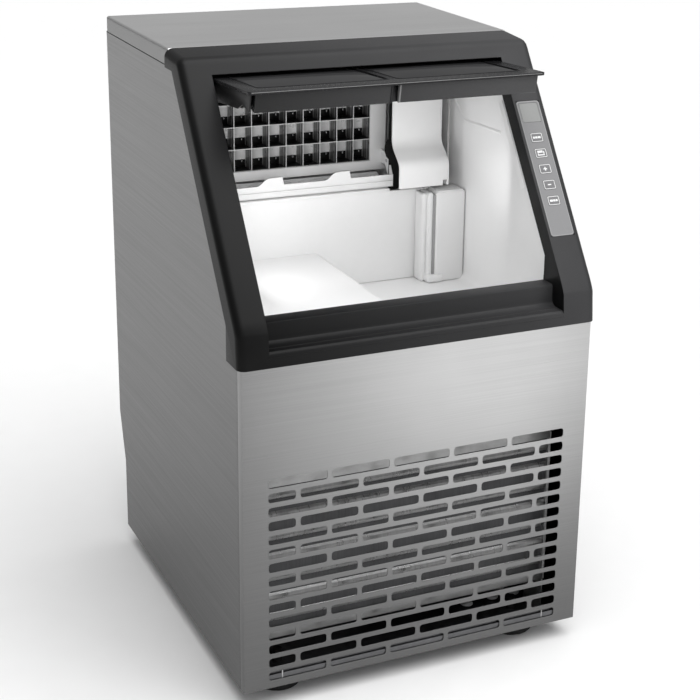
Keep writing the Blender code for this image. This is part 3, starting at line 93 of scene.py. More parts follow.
def slope_at_height(height, inward):
    along = (height - KNEE[1] + inward * math.sin(SLOPE)) / math.cos(SLOPE)
    return slope_point(along, inward)


# On the sloping face: local x across, y up the slope, z out of the face.
ON_SLOPE = Matrix.Translation((0, *KNEE)) @ Matrix.Rotation(math.pi / 2 - SLOPE, 4, "X")

# On the open door: local origin on its pins, x across, y to its rear, z up out of its face.
door_joint = next(joint for joint in frame["joints"] if joint["name"] == "door_tilt")
PIN = Vector(door_joint["pos_m"]) - ORIGIN
DOOR_TILT = math.radians(3)
ON_DOOR = Matrix.Translation(PIN) @ Matrix.Rotation(-DOOR_TILT, 4, "X")


# Finishes


MATHS = "ShaderNodeMath"
VECTOR_MATHS = "ShaderNodeVectorMath"
NOISE_LOW = 0.3
NOISE_HIGH = 0.7


def link(tree, output, target):
    tree.links.new(output, target)


def node(tree, kind, **values):
    made = tree.nodes.new(kind)
    for name, value in values.items():
        made.inputs[name.replace("_", " ")].default_value = value
    return made


def remap(tree, source, low, high):
    return span(tree, source, From_Min=NOISE_LOW, From_Max=NOISE_HIGH, To_Min=low, To_Max=high)


def surface(
    name,
    colour,
    roughness,
    metallic=0.0,
    vary=0.06,
    grain=(1, 1, 1),
    grain_scale=60.0,
    bump=0.02,
    patch_scale=9.0,
    rough_vary=0.15,
    anisotropic=0.0,
    edge=0.0,
    specular=0.5,
):
    """A finish with patchy colour, uneven gloss and a fine grain that an axis may draw out."""
    made = bpy.data.materials.new(name)
    made.use_nodes = True
    tree = made.node_tree
    shader = tree.nodes["Principled BSDF"]
    shader.inputs["Metallic"].default_value = metallic
    shader.inputs["Anisotropic"].default_value = anisotropic
    shader.inputs["Specular IOR Level"].default_value = specular
    where = node(tree, "ShaderNodeTexCoord")
    patches = node(tree, "ShaderNodeTexNoise", Scale=patch_scale, Detail=3.0)
    link(tree, where.outputs["Object"], patches.inputs["Vector"])
    stretch = node(tree, "ShaderNodeMapping", Scale=grain)
    link(tree, where.outputs["Object"], stretch.inputs["Vector"])
    fine = node(tree, "ShaderNodeTexNoise", Scale=grain_scale, Detail=4.0, Roughness=0.6)
    link(tree, stretch.outputs["Vector"], fine.inputs["Vector"])
    both = operate(tree, MATHS, "ADD", patches.outputs["Fac"], fine.outputs["Fac"])
    half = operate(tree, MATHS, "MULTIPLY", both, 0.5)
    tint = node(tree, "ShaderNodeMix")
    tint.data_type = "RGBA"
    dark = [c * (1 - vary) for c in colour]
    light = [min(1.0, c * (1 + vary)) for c in colour]
    tint.inputs[6].default_value = (*dark, 1)
    tint.inputs[7].default_value = (*light, 1)
    link(tree, remap(tree, half, 0.0, 1.0), tint.inputs["Factor"])
    link(tree, tint.outputs[2], shader.inputs["Base Color"])
    gloss = remap(
        tree, fine.outputs["Fac"], roughness * (1 - rough_vary), roughness * (1 + rough_vary)
    )
    link(tree, gloss, shader.inputs["Roughness"])
    relief = node(tree, "ShaderNodeBump", Strength=bump, Distance=0.0005)
    link(tree, fine.outputs["Fac"], relief.inputs["Height"])
    if edge:
        rounding = node(tree, "ShaderNodeBevel", Radius=edge)
        rounding.samples = 4
        link(tree, rounding.outputs["Normal"], relief.inputs["Normal"])
    link(tree, relief.outputs["Normal"], shader.inputs["Normal"])
    return made


def operate(tree, kind, operation, *sources, output=0):
    """One maths node of a finish; each source is a socket to link or a value to set."""
    made = node(tree, kind)
    made.operation = operation
    for target, source in zip(made.inputs, sources):
        if isinstance(source, bpy.types.NodeSocket):
            link(tree, source, target)
        else:
            target.default_value = source
    return made.outputs[output]


def coordinate(tree, output):
    return node(tree, "ShaderNodeTexCoord").outputs[output]


def span(tree, source, **limits):
    made = node(tree, "ShaderNodeMapRange", **limits)
    link(tree, source, made.inputs["Value"])
    return made.outputs["Result"]


def scale_colour(material, factor):
    """Multiplies a finish's colour by what a socket gives."""
    tree = material.node_tree
    shader = tree.nodes["Principled BSDF"]
    source = shader.inputs["Base Color"].links[0].from_socket
    product = node(tree, "ShaderNodeVectorMath")
    product.operation = "SCALE"
    link(tree, source, product.inputs[0])
    link(tree, factor, product.inputs["Scale"])
    link(tree, product.outputs[0], shader.inputs["Base Color"])


def painted_light_ramp(material, direction, start, end, low, high, power=1.0):
    """Paints light and shade into a finish's colour: scales it between two distances along a
    direction in the case.
    """
    tree = material.node_tree
    along = operate(
        tree, VECTOR_MATHS, "DOT_PRODUCT", coordinate(tree, "Object"), direction, output="Value"
    )
    shift = Vector(direction).dot(ORIGIN)
    ramp = span(tree, along, From_Min=start + shift, From_Max=end + shift)
    curve = operate(tree, MATHS, "POWER", ramp, power)
    scale_colour(material, span(tree, curve, To_Min=low, To_Max=high))


def painted_light_spot(material, centre, sizes, low, high):
    """Paints a pool of light into a finish's colour: scales it from low far away to high at a point,
    as a soft round patch.
    """
    tree = material.node_tree
    where = coordinate(tree, "Object")
    away = operate(tree, VECTOR_MATHS, "SUBTRACT", where, ORIGIN + Vector(centre))
    scaled = operate(tree, VECTOR_MATHS, "MULTIPLY", away, [1 / size for size in sizes])
    square = operate(tree, VECTOR_MATHS, "DOT_PRODUCT", scaled, scaled, output="Value")
    bell = operate(tree, MATHS, "EXPONENT", operate(tree, MATHS, "MULTIPLY", square, -0.5))
    scale_colour(material, span(tree, bell, To_Min=low, To_Max=high))


def painted_shade_by_facing(material, axis, beside, along):
    """Paints shade into a finish's colour by which way the face looks: scales it for faces beside the
    axis or along it.
    """
    tree = material.node_tree
    split = node(tree, "ShaderNodeSeparateXYZ")
    link(tree, coordinate(tree, "Normal"), split.inputs[0])
    size = operate(tree, MATHS, "ABSOLUTE", split.outputs[axis])
    scale_colour(material, span(tree, size, To_Min=beside, To_Max=along))


BRUSH_X = (3.0, 600.0, 600.0)
BRUSH_Y = (600.0, 3.0, 600.0)
# The front, side and top steels are one brushed steel in lit and shaded copies; their base colours
# are painted light and shade.
FRONT_STEEL_PAINTED_LIGHT = surface(
    "front_steel_painted_light", (0.60, 0.60, 0.60), 0.32, 1.0, 0.12, BRUSH_X, 1.4, 0.14, 5.0, 0.15,
    anisotropic=0.3,
)
# Painted light: a soft bright patch near the front steel's upper right, darker away from it.
painted_light_spot(FRONT_STEEL_PAINTED_LIGHT, (0.085, 0.0, 0.33), (0.165, 1.0, 0.122), 0.225, 1.0)
# Painted shade: the side steel is a darker copy of the same steel.
SIDE_STEEL_PAINTED_SHADE = surface(
    "side_steel_painted_shade", (0.30, 0.30, 0.30), 0.38, 1.0, 0.03, BRUSH_Y, 1.4, 0.08, 5.0, 0.12
)
# Painted shade: the side steel painted darker towards the bottom.
painted_light_ramp(SIDE_STEEL_PAINTED_SHADE, (0, 0, 1), 0.0, 0.60, 0.36, 0.74, 1.8)
# Painted light: the top steel is a lighter copy of the same steel.
TOP_STEEL_PAINTED_LIGHT_AND_SHADE = surface(
    "top_steel_painted_light_and_shade", (0.80, 0.80, 0.80), 0.40, 1.0, 0.06, BRUSH_X, 1.4, 0.08, 5.0, 0.12
)
# Painted shade: faces of the top cover that look sideways painted darker than those that look up.
painted_shade_by_facing(TOP_STEEL_PAINTED_LIGHT_AND_SHADE, 2, 0.32, 1.0)
ZINC = surface("zinc", (0.42, 0.43, 0.44), 0.42, 1.0, 0.22, (1, 1, 1), 90.0, 0.05, 45.0)
# Painted shade: the base pan's steel is a darkened copy of the zinc, standing in for the shade under
# the case.
PAN_STEEL_PAINTED_SHADE = surface(
    "pan_steel_painted_shade", (0.14, 0.14, 0.145), 0.45, 1.0, 0.22, (1, 1, 1), 90.0, 0.05, 45.0
)
BLACK_MOULD = surface(
    "black_mould", (0.030, 0.030, 0.031), 0.38, 0.0, 0.12, (1, 1, 1), 900.0, 0.06, 12.0,
    edge=0.0009, specular=0.14,
)
# Painted light: the black mouldings painted lighter towards the right and the top, darker at the
# lower left.
painted_light_ramp(BLACK_MOULD, (1.2, 0.0, 0.7), 0.04, 0.60, 0.12, 2.0, 1.1)
# Painted shade: their faces that look sideways painted darker.
painted_shade_by_facing(BLACK_MOULD, 0, 1.0, 0.12)
BLACK_GLOSS = surface(
    "black_gloss", (0.010, 0.010, 0.011), 0.25, 0.0, 0.12, (1, 1, 1), 500.0, 0.02, 12.0,
    specular=0.3,
)
BLACK_MOULD_DOOR = surface(
    "door_mould", (0.030, 0.030, 0.031), 0.35, 0.0, 0.12, (1, 1, 1), 500.0, 0.02, 12.0, specular=0.3
)
# Painted light: the door's lip and cheek painted darker at the left and lighter towards the right.
painted_light_ramp(BLACK_MOULD_DOOR, (1.0, 0.0, 0.0), -0.16, 0.10, 0.3, 1.9)
# Painted highlight: a grey finish for thin beads on the dark door that stand in for light caught on
# its edges.
DOOR_EDGE_HIGHLIGHT = surface("door_edge_highlight", (0.20, 0.20, 0.20), 0.3, 0.0, 0.12, (1, 1, 1), 300.0, 0.02, 12.0)
SMOKED = surface(
    "smoked", (0.022, 0.022, 0.023), 0.14, 0.0, 0.25, (1, 8, 8), 30.0, 0.01, 10.0, specular=0.3
)
FILM = surface("film", (0.25, 0.25, 0.255), 0.5, 0.0, 0.05, (1, 1, 1), 700.0, 0.03, specular=0.2)
FILM_KEY = surface(
    "film_key", (0.20, 0.20, 0.205), 0.45, 0.0, 0.05, (1, 1, 1), 700.0, 0.03, specular=0.2
)
FILM_LINE = surface(
    "film_line", (0.42, 0.42, 0.42), 0.5, 0.0, 0.05, (1, 1, 1), 700.0, 0.03, specular=0.2
)
PRINT = surface("white_print", (0.85, 0.85, 0.85), 0.5, 0.0, 0.03, (1, 1, 1), 500.0, 0.01)
LCD = surface("lcd", (0.27, 0.275, 0.27), 0.2, 0.0, 0.05, (1, 1, 1), 40.0, 0.0, specular=0.3)
LINER_WHITE = surface(
    "liner_white", (0.88, 0.88, 0.88), 0.32, 0.0, 0.01, (1, 1, 1), 60.0, 0.01, 6.0, 0.1
)
PART_WHITE = surface(
    "part_white", (0.82, 0.82, 0.82), 0.34, 0.0, 0.015, (1, 1, 1), 100.0, 0.015, 8.0, edge=0.0007
)
GREY_TRIM = surface("grey_trim", (0.32, 0.32, 0.32), 0.4, 0.0, 0.05, (1, 1, 1), 400.0, 0.02)
COPPER = surface("copper", (0.72, 0.40, 0.28), 0.26, 1.0, 0.16, (1, 1, 1), 120.0, 0.03, 30.0)
FINS = surface("fins", (0.085, 0.085, 0.088), 0.5, 0.7, 0.30, (420.0, 6.0, 6.0), 1.0, 0.5, 20.0)
FIN_TUBE = surface(
    "fin_tube", (0.30, 0.30, 0.30), 0.30, 0.9, 0.20, (300.0, 40.0, 40.0), 1.0, 0.2, 20.0
)
HOOD = surface("hood", (0.46, 0.46, 0.46), 0.4, 0.9, 0.2, (1, 1, 1), 60.0, 0.04, 35.0)
RAIL = surface("rail", (0.24, 0.24, 0.24), 0.4, 0.9, 0.2, (1, 1, 1), 60.0, 0.04, 35.0)
BLACK_PAINT = surface(
    "black_paint", (0.018, 0.018, 0.019), 0.28, 0.0, 0.2, (1, 1, 1), 250.0, 0.03
)
FAN_METAL = surface("fan_metal", (0.4, 0.41, 0.42), 0.36, 1.0, 0.1, (1, 1, 1), 150.0, 0.03)
FOAM = surface("foam", (0.72, 0.64, 0.46), 0.9, 0.0, 0.1, (1, 1, 1), 800.0, 0.4)
RUBBER = surface(
    "rubber", (0.010, 0.010, 0.010), 0.6, 0.0, 0.2, (1, 1, 1), 700.0, 0.15, specular=0.3
)
DARK_SEAM = surface(
    "dark_seam", (0.012, 0.012, 0.012), 0.7, 0.0, 0.2, (1, 1, 1), 500.0, 0.05, specular=0.2
)
SCREW = surface("screw", (0.62, 0.62, 0.63), 0.25, 1.0, 0.08, (1, 1, 1), 300.0, 0.04)


CELL_COLUMNS = 9
CELL_ROWS = 4
PAINTED_SHADE_SHARE = 0.35


def cell_tin_painted_reflections():
    """Tinned copper cells with painted reflections: front edges painted bright as a painted
    highlight, floors painted black as a painted reflection of the dark cell above, and backs painted
    in upright streaks as a painted reflection of the bin."""
    low, high = case_box("evaporator_grid")
    made = surface(
        "cell_tin_painted_reflections", (1.0, 1.0, 1.0), 0.30, 0.2, 0.05, (1, 1, 1), 120.0, 0.02, 40.0, specular=0.25
    )
    tree = made.node_tree
    shader = tree.nodes["Principled BSDF"]
    where = node(tree, "ShaderNodeTexCoord")
    spot = node(tree, "ShaderNodeSeparateXYZ")
    link(tree, where.outputs["Object"], spot.inputs[0])
    facing = node(tree, "ShaderNodeSeparateXYZ")
    link(tree, where.outputs["Normal"], facing.inputs[0])

    def maths(operation, *sources):
        return operate(tree, MATHS, operation, *sources)

    def repeat(socket, start, size):
        return maths("FRACT", maths("DIVIDE", maths("SUBTRACT", socket, start), size))

    across = repeat(spot.outputs[0], low.x + ORIGIN.x, (high.x - low.x) / CELL_COLUMNS)
    # Painted reflection: light and dark upright streaks on the cells' side walls, by depth into the
    # cells.
    painted_reflection_streaks = node(tree, "ShaderNodeValToRGB")
    ramp = painted_reflection_streaks.color_ramp
    stops = (
        (0.0, 0.05), (0.18, 0.05), (0.28, 0.34), (0.40, 0.03), (0.55, 0.18), (0.68, 0.02),
        (0.82, 0.45), (1.0, 0.60),
    )
    ramp.elements[0].position = stops[0][0]
    ramp.elements[0].color = (stops[0][1],) * 3 + (1,)
    ramp.elements[1].position = stops[-1][0]
    ramp.elements[1].color = (stops[-1][1],) * 3 + (1,)
    for place, value in stops[1:-1]:
        ramp.elements.new(place).color = (value, value, value, 1)
    inward = span(tree, spot.outputs[1], From_Min=low.y + ORIGIN.y, From_Max=high.y + ORIGIN.y)
    link(tree, inward, painted_reflection_streaks.inputs[0])
    upward = repeat(spot.outputs[2], low.z + ORIGIN.z, (high.z - low.z) / CELL_ROWS)
    # Painted reflection: each cell's back painted brighter towards its right.
    back = span(tree, across, From_Min=0.35, From_Max=0.8, To_Min=0.32, To_Max=1.0)
    rim = low.y + ORIGIN.y
    deep = span(tree, spot.outputs[1], From_Min=rim + 0.0001, From_Max=rim + 0.0003)
    looks_up = maths("GREATER_THAN", maths("ABSOLUTE", facing.outputs[2]), 0.5)
    looks_across = maths("GREATER_THAN", maths("ABSOLUTE", facing.outputs[0]), 0.5)

    def choose(factor, first, second):
        mix = node(tree, "ShaderNodeMix")
        mix.data_type = "RGBA"
        link(tree, factor, mix.inputs[0])
        for socket, value in ((mix.inputs[6], first), (mix.inputs[7], second)):
            if isinstance(value, float):
                socket.default_value = (value, value, value, 1)
            else:
                link(tree, value, socket)
        return mix.outputs[2]

    # Painted shade: the lower part of each cell's back painted nearly black.
    body = choose(maths("LESS_THAN", upward, PAINTED_SHADE_SHARE), back, 0.008)
    body = choose(looks_across, body, painted_reflection_streaks.outputs[0])
    # Painted reflection: floors and roofs of the cells painted nearly black, as the dark cell above
    # would mirror.
    body = choose(looks_up, body, 0.006)
    # Painted highlight: the front edges of the cell walls painted bright.
    body = choose(deep, 0.55, body)
    link(tree, body, shader.inputs["Base Color"])
    return made


CELLS = cell_tin_painted_reflections()


# Building


def shade(obj, degrees=32):
    obj.data.shade_smooth()
    obj.data.set_sharp_from_angle(angle=math.radians(degrees))


def finished(name, shape, paint, place=None):
    """A mesh object from a bmesh that is drawn in case coordinates, or in those of place."""
    move = Matrix.Translation(ORIGIN) @ (place or Matrix.Identity(4))
    bmesh.ops.transform(shape, matrix=move, verts=shape.verts)
    bmesh.ops.recalc_face_normals(shape, faces=shape.faces)
    mesh = bpy.data.meshes.new(name)
    shape.to_mesh(mesh)
    shape.free()
    obj = bpy.data.objects.new(name, mesh)
    bpy.context.scene.collection.objects.link(obj)
    if paint is not None:
        mesh.materials.append(paint)
    shade(obj)
    return obj


def round_all(shape, width, segments, edges=None):
    if width:
        chosen = list(shape.edges) if edges is None else edges
        bmesh.ops.bevel(
            shape, geom=chosen, offset=width, segments=segments, profile=0.5, affect="EDGES",
            clamp_overlap=True,
        )


def block(name, low, high, paint, bevel=0.0, segments=3, place=None, edges=None):
    """A block with rounded edges. edges(a, b) chooses which, from the two ends of each."""
    low = Vector(low)
    high = Vector(high)
    shape = bmesh.new()
    bmesh.ops.create_cube(shape, size=1.0)
    bmesh.ops.scale(shape, vec=high - low, verts=shape.verts)
    bmesh.ops.translate(shape, vec=(low + high) / 2, verts=shape.verts)
    chosen = None
    if edges is not None:
        chosen = [e for e in shape.edges if edges(e.verts[0].co, e.verts[1].co)]
    round_all(shape, bevel, segments, chosen)
    return finished(name, shape, paint, place)


def put(point, level, across):
    a, b = point
    return {"x": (level, a, b), "y": (a, level, b), "z": (a, b, level)}[across]


def prism(
    name, points, low, high, paint, across="x", bevel=0.0, segments=3, place=None, edges=None
):
    """An outline given thickness. Points are (y, z) across x, (x, z) across y, (x, y) across z."""
    shape = bmesh.new()
    ring = [shape.verts.new(put(point, low, across)) for point in points]
    face = shape.faces.new(ring)
    pushed = bmesh.ops.extrude_face_region(shape, geom=[face])
    moved = [v for v in pushed["geom"] if isinstance(v, bmesh.types.BMVert)]
    step = Vector(put((0, 0), high - low, across))
    bmesh.ops.translate(shape, vec=step, verts=moved)
    chosen = None
    if edges is not None:
        chosen = [e for e in shape.edges if edges(e.verts[0].co, e.verts[1].co)]
    round_all(shape, bevel, segments, chosen)
    return finished(name, shape, paint, place)


def turned(name, profile, paint, location, axis="z", steps=32, place=None):
    """(radius, height) points turned about an axis. A zero radius closes an end."""
    shape = bmesh.new()
    rings = []
    for radius, height in profile:
        if radius == 0:
            rings.append([shape.verts.new((0, 0, height))])
        else:
            angles = [2 * math.pi * i / steps for i in range(steps)]
            round_it = [(radius * math.cos(a), radius * math.sin(a), height) for a in angles]
            rings.append([shape.verts.new(point) for point in round_it])
    for first, second in zip(rings, rings[1:]):
        for i in range(steps):
            j = (i + 1) % steps
            corners = [
                first[i % len(first)], first[j % len(first)], second[j % len(second)],
                second[i % len(second)],
            ]
            unique = list(dict.fromkeys(corners))
            if len(unique) > 2:
                shape.faces.new(unique)
    turn = {
        "z": Matrix.Identity(4),
        "x": Matrix.Rotation(math.pi / 2, 4, "Y"),
        "y": Matrix.Rotation(-math.pi / 2, 4, "X"),
    }[axis]
    spot = (place or Matrix.Identity(4)) @ Matrix.Translation(location) @ turn
    return finished(name, shape, paint, spot)


def swept(name, points, radius, paint, place=None):
    """A round rod through points."""
    path = bpy.data.curves.new(name, "CURVE")
    path.dimensions = "3D"
    path.bevel_depth = radius
    path.bevel_resolution = 3
    path.use_fill_caps = True
    spline = path.splines.new("POLY")
    spline.points.add(len(points) - 1)
    for point, spot in zip(spline.points, points):
        point.co = (*spot, 1)
    holder = bpy.data.objects.new(name + "_path", path)
    bpy.context.scene.collection.objects.link(holder)
    bpy.context.view_layer.update()
    graph = bpy.context.evaluated_depsgraph_get()
    drawn = bpy.data.meshes.new_from_object(holder.evaluated_get(graph))
    bpy.data.objects.remove(holder, do_unlink=True)
    shape = bmesh.new()
    shape.from_mesh(drawn)
    bmesh.ops.remove_doubles(shape, verts=shape.verts, dist=0.000005)
    for face in shape.faces:
        face.material_index = 0
    return finished(name, shape, paint, place)


def bent(corners, bend, steps=6):
    """The corners of a path, each replaced by an arc."""
    points = [Vector(corners[0])]
    for before, corner, after in zip(corners, corners[1:], corners[2:]):
        corner = Vector(corner)
        back = (Vector(before) - corner).normalized()
        ahead = (Vector(after) - corner).normalized()
        half = back.angle(ahead) / 2
        reach = bend / math.tan(half)
        middle = corner + (back + ahead).normalized() * bend / math.sin(half)
        first = (corner + back * reach - middle).normalized()
        last = (corner + ahead * reach - middle).normalized()
        points += [middle + bend * first.slerp(last, i / steps) for i in range(steps + 1)]
    points.append(Vector(corners[-1]))
    return points


def bake(obj):
    bpy.context.view_layer.update()
    graph = bpy.context.evaluated_depsgraph_get()
    old = obj.data
    obj.data = bpy.data.meshes.new_from_object(obj.evaluated_get(graph))
    obj.data.name = obj.name
    obj.modifiers.clear()
    bpy.data.meshes.remove(old)
    shade(obj)


def combine(obj, tools, operation):
    """Cuts the tools from the object or joins them on, and then removes them."""
    for tool in tools:
        change = obj.modifiers.new(tool.name, "BOOLEAN")
        change.operation = operation
        change.object = tool
        change.solver = "EXACT"
    bake(obj)
    for tool in tools:
        bpy.data.objects.remove(tool, do_unlink=True)


def cut(obj, *tools):
    combine(obj, tools, "DIFFERENCE")


def add(obj, *tools):
    combine(obj, tools, "UNION")


def as_one(name, pieces):
    """Puts all the pieces' meshes into the first, without a Boolean."""
    obj, *others = pieces
    shape = bmesh.new()
    shape.from_mesh(obj.data)
    for other in others:
        shape.from_mesh(other.data)
        bpy.data.objects.remove(other, do_unlink=True)
    shape.to_mesh(obj.data)
    shape.free()
    shade(obj)
    obj.name = name
    return obj


def soften(obj, width, segments=2, degrees=30):
    """Rounds an object's sharp edges."""
    rounding = obj.modifiers.new("round_edges", "BEVEL")
    rounding.width = width
    rounding.segments = segments
    rounding.limit_method = "ANGLE"
    rounding.angle_limit = math.radians(degrees)
    rounding.harden_normals = True
    rounding.miter_outer = "MITER_ARC"


def eased(corner_points, reach, steps):
    """The curve that replaces the middle one of three points."""
    before, corner, after = (Vector(point) for point in corner_points)
    start = corner + (before - corner).normalized() * reach
    end = corner + (after - corner).normalized() * reach
    result = []
    for k in range(steps + 1):
        t = k / steps
        spot = start * (1 - t) ** 2 + corner * 2 * t * (1 - t) + end * t**2
        result.append((spot.x, spot.y))
    return result


def round_corners(points, radius, steps=4):
    """A closed outline with every corner rounded."""
    result = []
    count = len(points)
    for i in range(count):
        corner = Vector(points[i])
        back = (Vector(points[i - 1]) - corner).normalized()
        ahead = (Vector(points[(i + 1) % count]) - corner).normalized()
        reach = radius / math.tan(back.angle(ahead) / 2)
        result += eased((points[i - 1], corner, points[(i + 1) % count]), reach, steps)
    return result


def rectangle(left, low, right, high):
    return [(left, low), (right, low), (right, high), (left, high)]


def goes_with(obj, body, *nodes):
    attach(obj, body)
    if nodes:
        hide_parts(*nodes)
    return obj


def fixed(name, low, high, paint, bevel, segments, *nodes):
    """A block on the cabinet, in place of the named nodes."""
    return goes_with(block(name, low, high, paint, bevel, segments), "cabinet", *nodes)


def paint_node(name, finish):
    obj = frame["nodes"][name]
    obj.data.materials.clear()
    obj.data.materials.append(finish)
    shade(obj)
    return obj


# Case


def grille_slots():
    rows = 15
    slots = 5
    width = 0.3266
    web = 0.00515
    pitch = 0.01494
    low = 0.0133
    full = (width + web) / slots - web
    half = (full - web) / 2
    found = []
    for row in range(rows):
        height = low + (rows - 1 - row) * pitch
        widths = [full] * slots
        if row % 2:
            widths = [half] + [full] * (slots - 1) + [half]
        left = -width / 2
        for each in widths:
            found.append((left, left + each, height))
            left += each + web
    return found


def build_front_panel():
    """One folded sheet with rounded slots pressed through it."""
    low, high = case_box("front_grille_panel")
    half = high.x
    sheet = 0.001
    fold = 0.0022
    outer = [
        (-half, high.y), (-half, fold), (-half + fold * 0.29, fold * 0.29), (-half + fold, 0)
    ]
    outer += [(-x, y) for x, y in outer[::-1]]
    inner = []
    for x, y in outer[::-1]:
        at_back = abs(y - high.y) < 1e-6
        inner.append((x - math.copysign(sheet, x), y if at_back else y + sheet * 0.9))
    panel = prism("front_panel", outer + inner, low.z, high.z, FRONT_STEEL_PAINTED_LIGHT, "z")
    tools = bmesh.new()
    for left, right, height in grille_slots():
        half_slot = 0.0048
        loop = round_corners(
            rectangle(left, height - half_slot, right, height + half_slot), 0.0034, 4
        )
        ring = [tools.verts.new((x, -0.01, z)) for x, z in loop]
        face = tools.faces.new(ring)
        pushed = bmesh.ops.extrude_face_region(tools, geom=[face])
        moved = [v for v in pushed["geom"] if isinstance(v, bmesh.types.BMVert)]
        bmesh.ops.translate(tools, vec=(0, 0.016, 0), verts=moved)
    cut(panel, finished("slot_tools", tools, None))
    soften(panel, 0.00025, 1, 40)
    goes_with(panel, "cabinet", "front_grille_panel")


def build_cover_gasket():
    """The dark line under the top cover's edge."""
    low, high = case_box("top_cover")
    out = 0.00012
    left = low.x - out
    right = high.x + out
    shape = [(left, low.y), (left, high.y + out), (right, high.y + out), (right, low.y)]
    inside = [
        (right - 0.002, low.y), (right - 0.002, high.y - 0.002), (left + 0.002, high.y - 0.002),
        (left + 0.002, low.y),
    ]
    strip = prism("cover_gasket", shape + inside, low.z - 0.0008, low.z + 0.0002, DARK_SEAM, "z")
    goes_with(strip, "cabinet")


def screw_head(name, location, axis, radius=0.0036):
    """A cross-recessed pan head: flat side at location, top looking along the axis."""
    profile = [(0, 0)]
    profile += [
        (radius, 0), (radius, 0.0006), (radius * 0.85, 0.0013), (radius * 0.5, 0.0017),
        (0, 0.0018),
    ]
    head = turned(name, profile, SCREW, (0, 0, 0), "z", 20)
    bar = 0.0006
    cross = [
        block("bar_a", (-radius * 0.6, -bar, 0.0009), (radius * 0.6, bar, 0.004), None),
        block("bar_b", (-bar, -radius * 0.6, 0.0009), (bar, radius * 0.6, 0.004), None),
    ]
    for tool in cross:
        cut(head, tool)
    target = Vector(axis)
    turn = Vector((0, 0, 1)).rotation_difference(target).to_matrix().to_4x4()
    back_home = Matrix.Translation(-ORIGIN)
    head.data.transform(
        Matrix.Translation(ORIGIN) @ Matrix.Translation(location) @ turn @ back_home
    )
    return head


def build_screws():
    side_high = case_box("left_side_panel")[1]
    heads = []
    back = side_high.y
    master = screw_head("screw_master", (0, 0, 0), (0, 1, 0))
    spots = []
    for x in (-1, 1):
        for z in (0.17, 0.30, 0.43, 0.565):
            spots.append((x * (HALF_WIDTH - 0.010), back, z))
    for x in (-0.09, 0.0, 0.09):
        spots.append((x, back, 0.565))
    foot = back - 0.018
    for x in (-0.17, -0.01, 0.17):
        spots.append((x, foot, 0.012))
    for x, z in ((-0.178, 0.05), (0.178, 0.05)):
        spots.append((x, foot, z))
    for i, spot in enumerate(spots):
        head = master.copy()
        head.data = master.data.copy()
        head.name = "back_screw_%d" % i
        head.data.transform(Matrix.Translation(spot))
        bpy.context.scene.collection.objects.link(head)
        heads.append(head)
    bpy.data.objects.remove(master, do_unlink=True)
    goes_with(as_one("back_screws", heads), "cabinet")


# Bezel


def front_line():
    return [
        (frame_low.y, BEZEL_LOW),
        (0.0002, KNEE[1] - 0.008),
        KNEE,
        slope_point(SLOPE_LENGTH),
        (LID_FRONT, CASE_HEIGHT),
    ]


def curved_line():
    """The bezel's outer face, with its knee and top edge rounded."""
    line = front_line()
    knee = eased(line[1:4], 0.006, 6)
    return [line[0], line[1], *knee, *eased(line[2:5], 0.007, 6), line[4]]


def offset_line(points, distance):
    result = []
    for i, point in enumerate(points):
        here = Vector(point)
        before = Vector(points[max(i - 1, 0)])
        after = Vector(points[min(i + 1, len(points) - 1)])
        first = (here - before).normalized() if i else (after - here).normalized()
        last = (after - here).normalized() if i < len(points) - 1 else first
        side_a = Vector((first.y, -first.x))
        side_b = Vector((last.y, -last.x))
        middle = (side_a + side_b).normalized()
        moved = here + middle * distance / middle.dot(side_a)
        result.append((moved.x, moved.y))
    return result


PIN_CLOSED = 0.23334
PIN_DROP = 0.012


